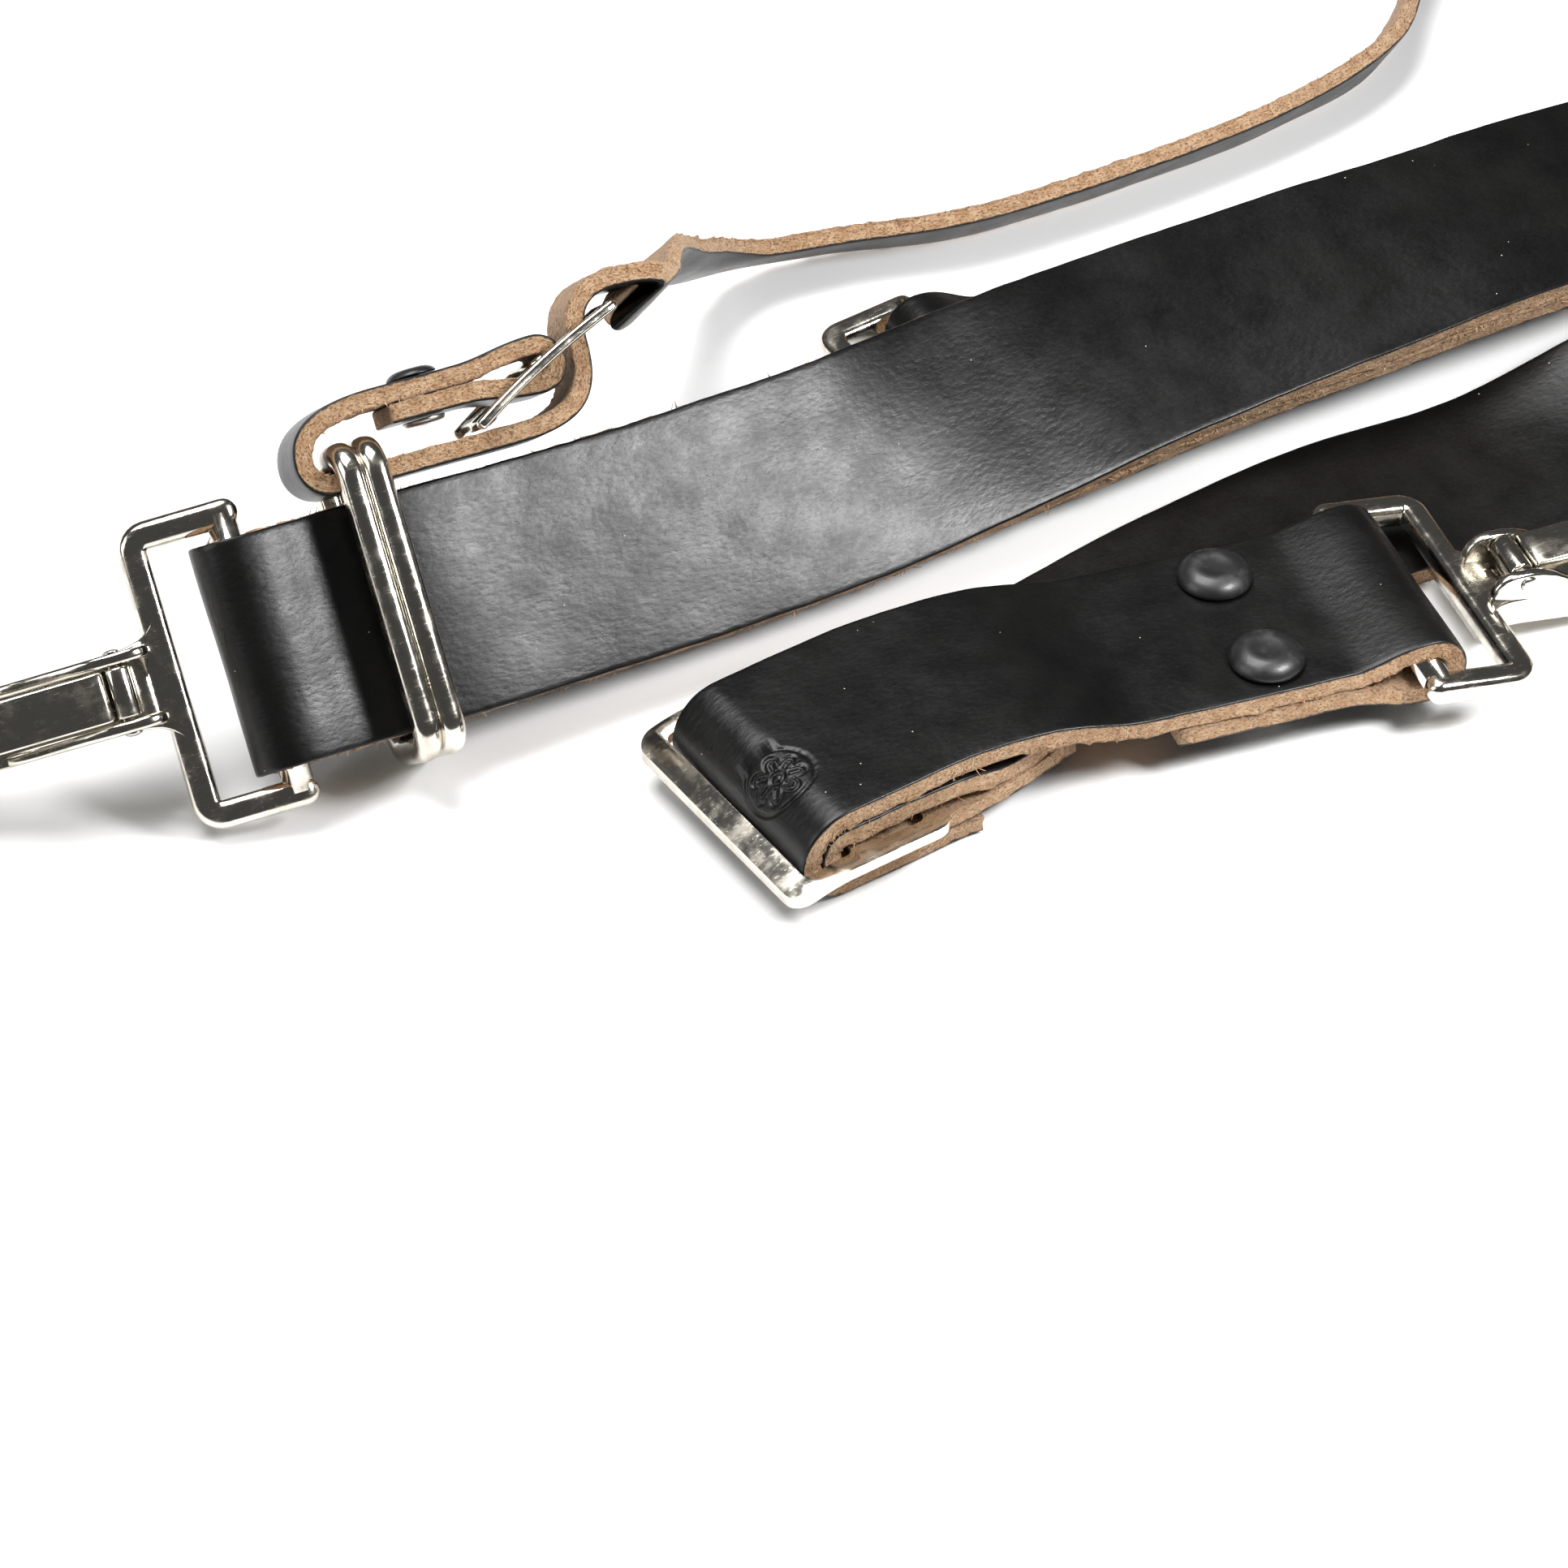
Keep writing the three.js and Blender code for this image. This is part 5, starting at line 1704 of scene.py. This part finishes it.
@dataclass
class Hook:
    """A cast trigger hook with a square strap eye, a leaf tongue and its pin."""

    place: HookPlace
    length: float = HOOK_LENGTH
    width: float = HOOK_WIDTH
    low: float = -3.0
    wall: float = 2.0

    def eye(self, bm: bmesh.types.BMesh) -> None:
        """Adds the square eye: arms, cross piece and bar.

        Args:
            bm: The mesh that takes the new faces.
        """
        y, x, r = EYE_INNER + ARM / 2, EYE_DEPTH, 2.6
        points = [Vector((-0.6, y, 0)), Vector((3.5, y, 0)), Vector((7.5, y, 0)), Vector((x - r, y, 0))]
        for i in range(1, 7):
            a = math.pi / 2 * i / 6
            points.append(Vector((x - r + r * math.sin(a), y - r + r * math.cos(a), 0)))
        middle = [Vector((x, y * k, 0)) for k in (0.6, 0.35, 0.15)]
        points += middle
        points += [Vector((p.x, -p.y, p.z)) for p in reversed(points)]
        frames = domed_ends(frames_along(points, Vector((0, 0, 1))), 2.4, 5)
        sweep(bm, rounded_section(4.7, 4.5, 1.5, 4), frames)
        part = bmesh.new()
        bmesh.ops.create_cone(part, cap_ends=True, segments=28, radius1=BAR_RADIUS, radius2=BAR_RADIUS,
                              depth=2 * y, matrix=Matrix.Rotation(math.pi / 2, 4, "X"))
        join(bm, part)

    def side_outline(self) -> list[tuple]:
        """The body seen from the side, as X and Z.

        Returns:
            The corners, as X and Z.
        """
        low, rise, end = self.low, HOOK_RISE, self.length
        points = [Vector((EYE_DEPTH - 2, low + 0.4)), Vector((EYE_DEPTH + 4, low))]

        def bend(*handles: tuple) -> None:
            """Adds a curve from the last point."""
            chain = [points[-1]] + [Vector(h) for h in handles]
            for i in range(1, 11):
                level = chain
                while len(level) > 1:
                    level = [p.lerp(q, i / 10) for p, q in zip(level, level[1:])]
                points.append(level[0])

        throat = EYE_DEPTH + 13
        points.append(Vector((end - 24, low)))
        points.append(Vector((end - 10, low)))
        bend((end - 3, low), (end, low + 3), (end, low + 7))
        bend((end, low + 13), (end - 3, low + rise), (end - 8, low + rise))
        bend((end - 10.5, low + rise), (end - 12, low + rise - 0.8), (end - 12, low + rise - 2.2))
        bend((end - 12, low + rise - 3.4), (end - 10, low + rise - 3.4), (end - 8.6, low + 12.4))
        bend((end - 4.2, low + 9.6), (end - 4.4, low + 4.6), (end - 11, low + 4.4))
        points.append(Vector((end - 20, low + 4.3)))
        points.append(Vector((throat + 4, low + 4.2)))
        bend((throat, low + 4.2), (throat - 1, low + 5), (throat - 3, low + 5.4))
        points.append(Vector((EYE_DEPTH + 3, low + 5.4)))
        bend((EYE_DEPTH - 1.4, low + 5.4), (EYE_DEPTH - 2, low + 4.6))
        return [tuple(p) for p in points]

    def flare(self, x: float) -> float:
        """Width of the body at a distance from the eye bar, as a share of its width."""
        neck = 0.55 * math.exp(-max(0.0, x - EYE_DEPTH) / 2.1)
        taper = 0.30 * max(0.0, (x - 44) / 22) ** 1.5
        return 1.0 + neck - taper

    def body(self, finishes: Finishes) -> bpy.types.Object:
        """Builds and dresses the eye and the cast body.

        Args:
            finishes: The finishes.

        Returns:
            The dressed object.
        """
        bm = bmesh.new()
        self.eye(bm)
        core = plate(self.side_outline(), self.width, 1.1, 4)
        turn = Matrix.Rotation(math.pi / 2, 3, "X")
        bmesh.ops.rotate(core, cent=(0, 0, 0), matrix=turn, verts=core.verts)
        cuts = [EYE_DEPTH + d for d in (0.5, 1.5, 3, 5, 8)] + [44, 48, 52, 56, 60]
        for x in cuts:
            bmesh.ops.bisect_plane(core, geom=core.verts[:] + core.edges[:] + core.faces[:],
                                   plane_co=(x, 0, 0), plane_no=(1, 0, 0))
        for vert in core.verts:
            vert.co.y *= self.flare(vert.co.x)
        join(bm, core)
        for side in (-1, 1):
            join(bm, self.rim(side))
        bmesh.ops.transform(bm, matrix=self.place.matrix(), verts=bm.verts)
        name = f"hook_{self.place.value}"
        return finished(bm, f"{name}_body_cast", name, [f"{name}_body"], [finishes.nickel])

    def rim(self, side: int) -> bmesh.types.BMesh:
        """One raised rim beside the tongue.

        Args:
            side: -1 or 1.

        Returns:
            The rim.
        """
        low = self.low + 3.2
        points = [(16.2, low), (44, low), (43, 2.0), (39, 2.5), (35.5, 3.3), (32.5, 4.4), (30, 5.6),
                  (27.6, 6.7), (25, 7.3), (22.5, 7.4), (20, 7.2), (18.2, 6.5), (17, 5.2), (16.3, 3.4)]
        rim = plate(points, self.wall, 0.62, 3)
        turn = Matrix.Rotation(math.pi / 2, 3, "X")
        bmesh.ops.rotate(rim, cent=(0, 0, 0), matrix=turn, verts=rim.verts)
        bmesh.ops.translate(rim, vec=(0, side * (self.width / 2 - self.wall / 2), 0), verts=rim.verts)
        return rim

    def tongue(self, finishes: Finishes) -> bpy.types.Object:
        """Builds and dresses the leaf tongue.

        Args:
            finishes: The finishes.

        Returns:
            The dressed object.
        """
        tip, under = self.length - 10, self.low + HOOK_RISE - 3.6 - 0.8 - GAP
        points = []
        for i in range(15):
            a = math.radians(-130 - i * 15)
            points.append(Vector((PIN_X + 1.72 * math.cos(a), 0, PIN_Z + 1.72 * math.sin(a))))
        chain = [Vector((PIN_X + 1.4, 0, PIN_Z + 1.72)), Vector((PIN_X + 14, 0, PIN_Z + 3.0)),
                 Vector((tip - 18, 0, under + 1.3)), Vector((tip, 0, under - 0.75))]
        for i in range(1, 21):
            level = chain
            while len(level) > 1:
                level = [p.lerp(q, i / 20) for p, q in zip(level, level[1:])]
            points.append(level[0])
        frames = domed_ends(frames_along(points, Vector((0, 1, 0))), 0.3, 3)
        bm = bmesh.new()
        sweep(bm, rounded_section(1.15, 8.2, 0.4, 3), frames)
        bmesh.ops.transform(bm, matrix=self.place.matrix(), verts=bm.verts)
        name = f"hook_{self.place.value}"
        return finished(bm, f"{name}_tongue_leaf", f"{name}_gate", [f"{name}_tongue"],
                        [finishes.nickel])

    def pin(self, finishes: Finishes) -> bpy.types.Object:
        """Builds and dresses the pin with its two peened heads.

        Args:
            finishes: The finishes.

        Returns:
            The dressed object.
        """
        half = (self.width + 0.6) / 2
        profile = [(0, half + 0.35), (0.7, half + 0.28), (1.3, half + 0.05), (1.5, half - 0.25),
                   (PIN_RADIUS, half - 0.3), (PIN_RADIUS, 0)]
        profile += [(r, -z) for r, z in reversed(profile[:-1])]
        bm = bmesh.new()
        place = Matrix.Translation((PIN_X, 0, PIN_Z)) @ Matrix.Rotation(math.pi / 2, 4, "X")
        lathe(bm, profile, 24, self.place.matrix() @ place)
        name = f"hook_{self.place.value}"
        return finished(bm, f"{name}_pin_peened", name, [f"{name}_pin"], [finishes.steel])

    def build(self, finishes: Finishes) -> None:
        """Builds the three pieces of the hook."""
        self.body(finishes)
        self.tongue(finishes)
        self.pin(finishes)


@dataclass
class Keeper:
    """Two polished ribs side by side round a strap."""

    name: str
    matrix: Matrix
    open_width: float = KEEPER_OPEN
    height: float = KEEPER_HEIGHT
    rib: float = RIB

    def build(self, finishes: Finishes) -> bpy.types.Object:
        """Builds and dresses the keeper.

        Args:
            finishes: The finishes.

        Returns:
            The dressed object.
        """
        bm = bmesh.new()
        path = rounded_path(self.open_width + self.rib, self.height + self.rib, 3.9, 9)
        frames = frames_along(path, Vector((1, 0, 0)), closed=True)
        for side in (-1, 1):
            part = bmesh.new()
            sweep(part, rounded_section(self.rib, self.rib, 1.95, 6), frames, closed=True)
            bmesh.ops.translate(part, vec=(side * (self.rib / 2 - 0.1), 0, 0), verts=part.verts)
            bmesh.ops.recalc_face_normals(part, faces=part.faces)
            join(bm, part)
        bmesh.ops.transform(bm, matrix=self.matrix, verts=bm.verts)
        return finished(bm, f"{self.name}_ribs", "straps", [self.name], [finishes.nickel])


@dataclass
class WideSlide:
    """A stamped slide with two slots and a lip that dips at one end."""

    thickness: float = SLIDE_THICKNESS
    bar: float = SLIDE_BAR
    edge: float = SLIDE_EDGE_BAR
    slot_width: float = STRAP_WIDTH + 2.4
    width: float = STRAP_WIDTH + 9
    corner: float = 3.5
    slot_corner: float = 1.3
    bevel: float = 0.6

    def dip(self, x: float) -> float:
        """Height of the bent lip at a distance along the strap."""
        return -2.6 * ((-x - 4) / 12) ** 2 if x < -4 else 0.0

    def build(self, finishes: Finishes) -> bpy.types.Object:
        """Builds and dresses the slide.

        Args:
            finishes: The finishes.

        Returns:
            The dressed object.
        """
        bm = bmesh.new()
        reach = self.bar / 2 + SLIDE_SLOT
        loops = [(0.0, 2 * (reach + self.edge), self.width, self.corner)]
        middle = (reach + self.bar / 2) / 2
        loops += [(x, SLIDE_SLOT, self.slot_width, self.slot_corner) for x in (-middle, middle)]
        for x0, length, width, radius in loops:
            verts = [bm.verts.new((x + x0, y, 0)) for x, y in rounded_section(length, width, radius, 7)]
            for i, vert in enumerate(verts):
                bm.edges.new((verts[i - 1], vert))
        bmesh.ops.triangle_fill(bm, edges=bm.edges[:], use_beauty=True, use_dissolve=False)
        inside = (SLIDE_SLOT / 2 - 0.01, self.slot_width / 2 - 0.01)
        holes = [f for f in bm.faces if abs(abs(f.calc_center_median().x) - middle) < inside[0]
                 and abs(f.calc_center_median().y) < inside[1]]
        bmesh.ops.delete(bm, geom=holes, context="FACES_ONLY")
        bmesh.ops.dissolve_limit(bm, angle_limit=0.01, verts=bm.verts, edges=bm.edges)
        for x in [-reach - self.edge + k * 1.5 for k in range(1, 11)]:
            bmesh.ops.bisect_plane(bm, geom=bm.verts[:] + bm.edges[:] + bm.faces[:],
                                   plane_co=(x, 0, 0), plane_no=(1, 0, 0))
        made = bmesh.ops.extrude_face_region(bm, geom=bm.faces[:], use_keep_orig=True)["geom"]
        top = [g for g in made if isinstance(g, bmesh.types.BMVert)]
        bmesh.ops.translate(bm, vec=(0, 0, self.thickness), verts=top)
        bmesh.ops.translate(bm, vec=(0, 0, -self.thickness / 2), verts=bm.verts)
        bmesh.ops.recalc_face_normals(bm, faces=bm.faces)
        rims = [e for e in bm.edges if len(e.link_faces) == 2 and e.calc_face_angle(0) > SHARP
                and abs(e.verts[0].co.z - e.verts[1].co.z) < 1e-4]
        bmesh.ops.bevel(bm, geom=rims, offset=self.bevel, offset_type="OFFSET", segments=3, profile=0.5,
                        affect="EDGES", clamp_overlap=True, material=-1)
        for vert in bm.verts:
            vert.co.z += self.dip(vert.co.x)
        bmesh.ops.transform(bm, matrix=RIGHT.matrix(SLIDE_AT, SLIDE_LEVEL), verts=bm.verts)
        return finished(bm, "slide_wide_stamped", "straps", ["slide_wide"],
                        [finishes.nickel])


@dataclass
class SmallSlide:
    """A small bent slide: two side rails and three bars."""

    name: str
    matrix: Matrix
    mirrored: bool
    rail: float = CROSS_WIDTH / 2 + 0.6
    bar: float = 3.0
    tilt: float = 0.48

    def build(self, finishes: Finishes) -> bpy.types.Object:
        """Builds and dresses the slide.

        Args:
            finishes: The finishes.

        Returns:
            The dressed object.
        """
        bm = bmesh.new()
        way = -1.0 if self.mirrored else 1.0
        (s0, n0), (s1, n1), (s2, n2) = SMALL_BARS
        ends = [Vector((s0 - self.bar / 2, n0 + 0.6)), Vector((s1, n1 + 0.25)),
                Vector((s2 + self.bar / 2, n2 - 0.5))]
        points = []
        for i in range(25):
            t = i / 24
            shares = ((1 - t) * (1 - 2 * t), 4 * t * (1 - t), t * (2 * t - 1))
            at = ends[0] * shares[0] + ends[1] * shares[1] + ends[2] * shares[2]
            points.append(Vector((at.x * way, 0, at.y)))
        for side in (-1, 1):
            part = bmesh.new()
            frames = domed_ends(frames_along(points, Vector((0, 1, 0))), 0.8, 4)
            sweep(part, rounded_section(1.8, 2.2, 0.6, 3), frames)
            bmesh.ops.translate(part, vec=(0, side * (self.rail + 1.1), 0), verts=part.verts)
            join(bm, part)
        for s, n in SMALL_BARS:
            part = bmesh.new()
            span = [Vector((0, y, 0)) for y in (-self.rail - 0.8, 0, self.rail + 0.8)]
            sweep(part, rounded_section(2.6, 1.8, 0.6, 3), frames_along(span, Vector((0, 0, 1))))
            turn = Matrix.Rotation(self.tilt * way, 3, "Y")
            bmesh.ops.rotate(part, cent=(0, 0, 0), matrix=turn, verts=part.verts)
            bmesh.ops.translate(part, vec=(s * way, 0, n), verts=part.verts)
            join(bm, part)
        bmesh.ops.recalc_face_normals(bm, faces=bm.faces)
        bmesh.ops.transform(bm, matrix=self.matrix, verts=bm.verts)
        return finished(bm, f"{self.name}_bent", "straps", [self.name], [finishes.nickel])


# ---- studio ---------------------------------------------------------------------------------------
@dataclass(frozen=True)
class Softbox:
    """A rectangular light that points at a place."""

    name: str
    at: tuple
    aim: tuple
    size: tuple
    power: float
    color: tuple = (1.0, 1.0, 1.0)

    def build(self) -> None:
        """Adds the light."""
        data = bpy.data.lights.new(self.name, "AREA")
        data.shape = "RECTANGLE"
        data.size, data.size_y = self.size
        data.energy = self.power
        data.color = self.color
        light = bpy.data.objects.new(self.name, data)
        light.location = self.at
        light.rotation_euler = (Vector(self.aim) - Vector(self.at)).to_track_quat("-Z", "Y").to_euler()
        bpy.context.scene.collection.objects.link(light)


@dataclass
class Studio:
    """Camera, lights and the white surface."""

    eye: tuple = (-0.4993, -0.6027, 0.5722)
    aim: tuple = (-0.1816, -0.0524, 0.0001)
    view_angle: float = 16.9
    lights: tuple = (
        Softbox("sheen_box", (-0.006, -0.212, 0.246), (-0.130, -0.008, 0.020), (0.11, 0.09), 1.45),
        Softbox("top_box", (-0.35, 0.45, 1.75), (-0.15, 0.0, 0.0), (1.3, 1.0), 48.0),
        Softbox("left_box", (-1.5, 0.25, 0.75), (-0.15, 0.0, 0.0), (0.8, 0.8), 7.0),
    )
    sky: float = 0.07

    def camera(self) -> None:
        """Adds the camera."""
        data = bpy.data.cameras.new("camera")
        data.sensor_width = 36.0
        data.lens = data.sensor_width / 2 / math.tan(math.radians(self.view_angle) / 2)
        data.clip_start, data.clip_end = 0.01, 50.0
        camera = bpy.data.objects.new("camera", data)
        camera.location = self.eye
        camera.rotation_euler = (Vector(self.aim) - Vector(self.eye)).to_track_quat("-Z", "Y").to_euler()
        bpy.context.scene.collection.objects.link(camera)
        bpy.context.scene.camera = camera

    def floor(self, finishes: Finishes) -> None:
        """Adds the white surface.

        Args:
            finishes: The finishes.
        """
        bm = bmesh.new()
        bmesh.ops.create_circle(bm, cap_ends=True, segments=64, radius=9.0)
        mesh = bpy.data.meshes.new("floor")
        bm.to_mesh(mesh)
        bm.free()
        mesh.materials.append(finishes.floor)
        floor = bpy.data.objects.new("floor", mesh)
        bpy.context.scene.collection.objects.link(floor)

    def build(self, finishes: Finishes) -> None:
        """Adds everything round the object.

        Args:
            finishes: The finishes.
        """
        self.camera()
        self.floor(finishes)
        for light in self.lights:
            light.build()
        world = bpy.data.worlds.new("studio")
        world.use_nodes = True
        background = world.node_tree.nodes["Background"]
        background.inputs[0].default_value = (1.0, 1.0, 1.0, 1.0)
        background.inputs[1].default_value = self.sky
        bpy.context.scene.world = world
        bpy.context.scene.view_settings.view_transform = "Standard"
        bpy.context.scene.view_settings.look = "None"


MOTIF_BEND = 28.0  # degrees round the loop
MOTIF_SHIFT = -5.0


# ---- the whole ------------------------------------------------------------------------------------
class Suspenders:
    """All the pieces, in the order they are made."""

    def __init__(self, finishes: Finishes) -> None:
        """Keeps the finishes and places the fasteners."""
        self.finishes = finishes
        self.fasteners = placed_fasteners()

    def presses(self, *prefixes: str) -> list[Press]:
        """Where the fasteners with these names pull the leather in."""
        return [Press(p.matrix.translation, p.kind.cap * 1.12, 0.34) for p in self.fasteners
                if p.name.startswith(prefixes)]

    def straps(self) -> list[Strap]:
        """The five straps.

        Returns:
            The straps, ready to build.
        """
        bend, reach = math.radians(MOTIF_BEND), OUTER_LOOP + LEATHER / 2
        flower = TAB.matrix(LOOP_AT - reach * math.sin(bend), SLIDE_LEVEL + reach * math.cos(bend),
                          MOTIF_SHIFT).translation
        return [
            Strap("strap_left", LEFT, left_profile(), 1, presses=self.presses("snap_left")),
            Strap("strap_right", RIGHT, right_profile(), 2, presses=self.presses("rivet_loop")),
            Strap("strap_tab", TAB, tab_profile(), 3, presses=self.presses("snap_tab"),
                  motif=Motif(flower)),
            Strap("strap_back", BACK, back_profile(), 4, presses=self.presses("snap_back")),
            Strap("strap_cross", CROSS, cross_profile(), 5, CROSS_WIDTH, CROSS_LEATHER, True, 8),
        ]

    def build(self) -> None:
        """Builds every piece."""
        for strap in self.straps():
            strap.leather(self.finishes)
            strap.fibres(self.finishes)
        yoke = Yoke()
        yoke.patch("yoke_back", YOKE_BACK, False, self.finishes)
        yoke.patch("yoke_front", YOKE_FRONT, True, self.finishes)
        for fastener in self.fasteners:
            fastener.kind.build(fastener.name, fastener.matrix, fastener.depth, self.finishes)
        for place in HookPlace:
            Hook(place).build(self.finishes)
        left = LEFT.matrix(LEFT_KEEPER, KEEPER_OFF, KEEPER_CENTRE)
        right = RIGHT.matrix(RIGHT_KEEPER, FLOOR_LAYER + KEEPER_OFF, KEEPER_CENTRE)
        Keeper("keeper_left", left).build(self.finishes)
        Keeper("keeper_right", right).build(self.finishes)
        WideSlide().build(self.finishes)
        SmallSlide("slide_small_left", CROSS.matrix(CROSS_START), False).build(self.finishes)
        SmallSlide("slide_small_right", CROSS.matrix(CROSS_END), True).build(self.finishes)


def main() -> None:
    """Builds the studio and the suspenders."""
    logging.basicConfig(level=logging.INFO, format="%(name)s: %(message)s")
    finishes = Finishes()
    Studio().build(finishes)
    Suspenders(finishes).build()


if __name__ == "__main__":
    main()
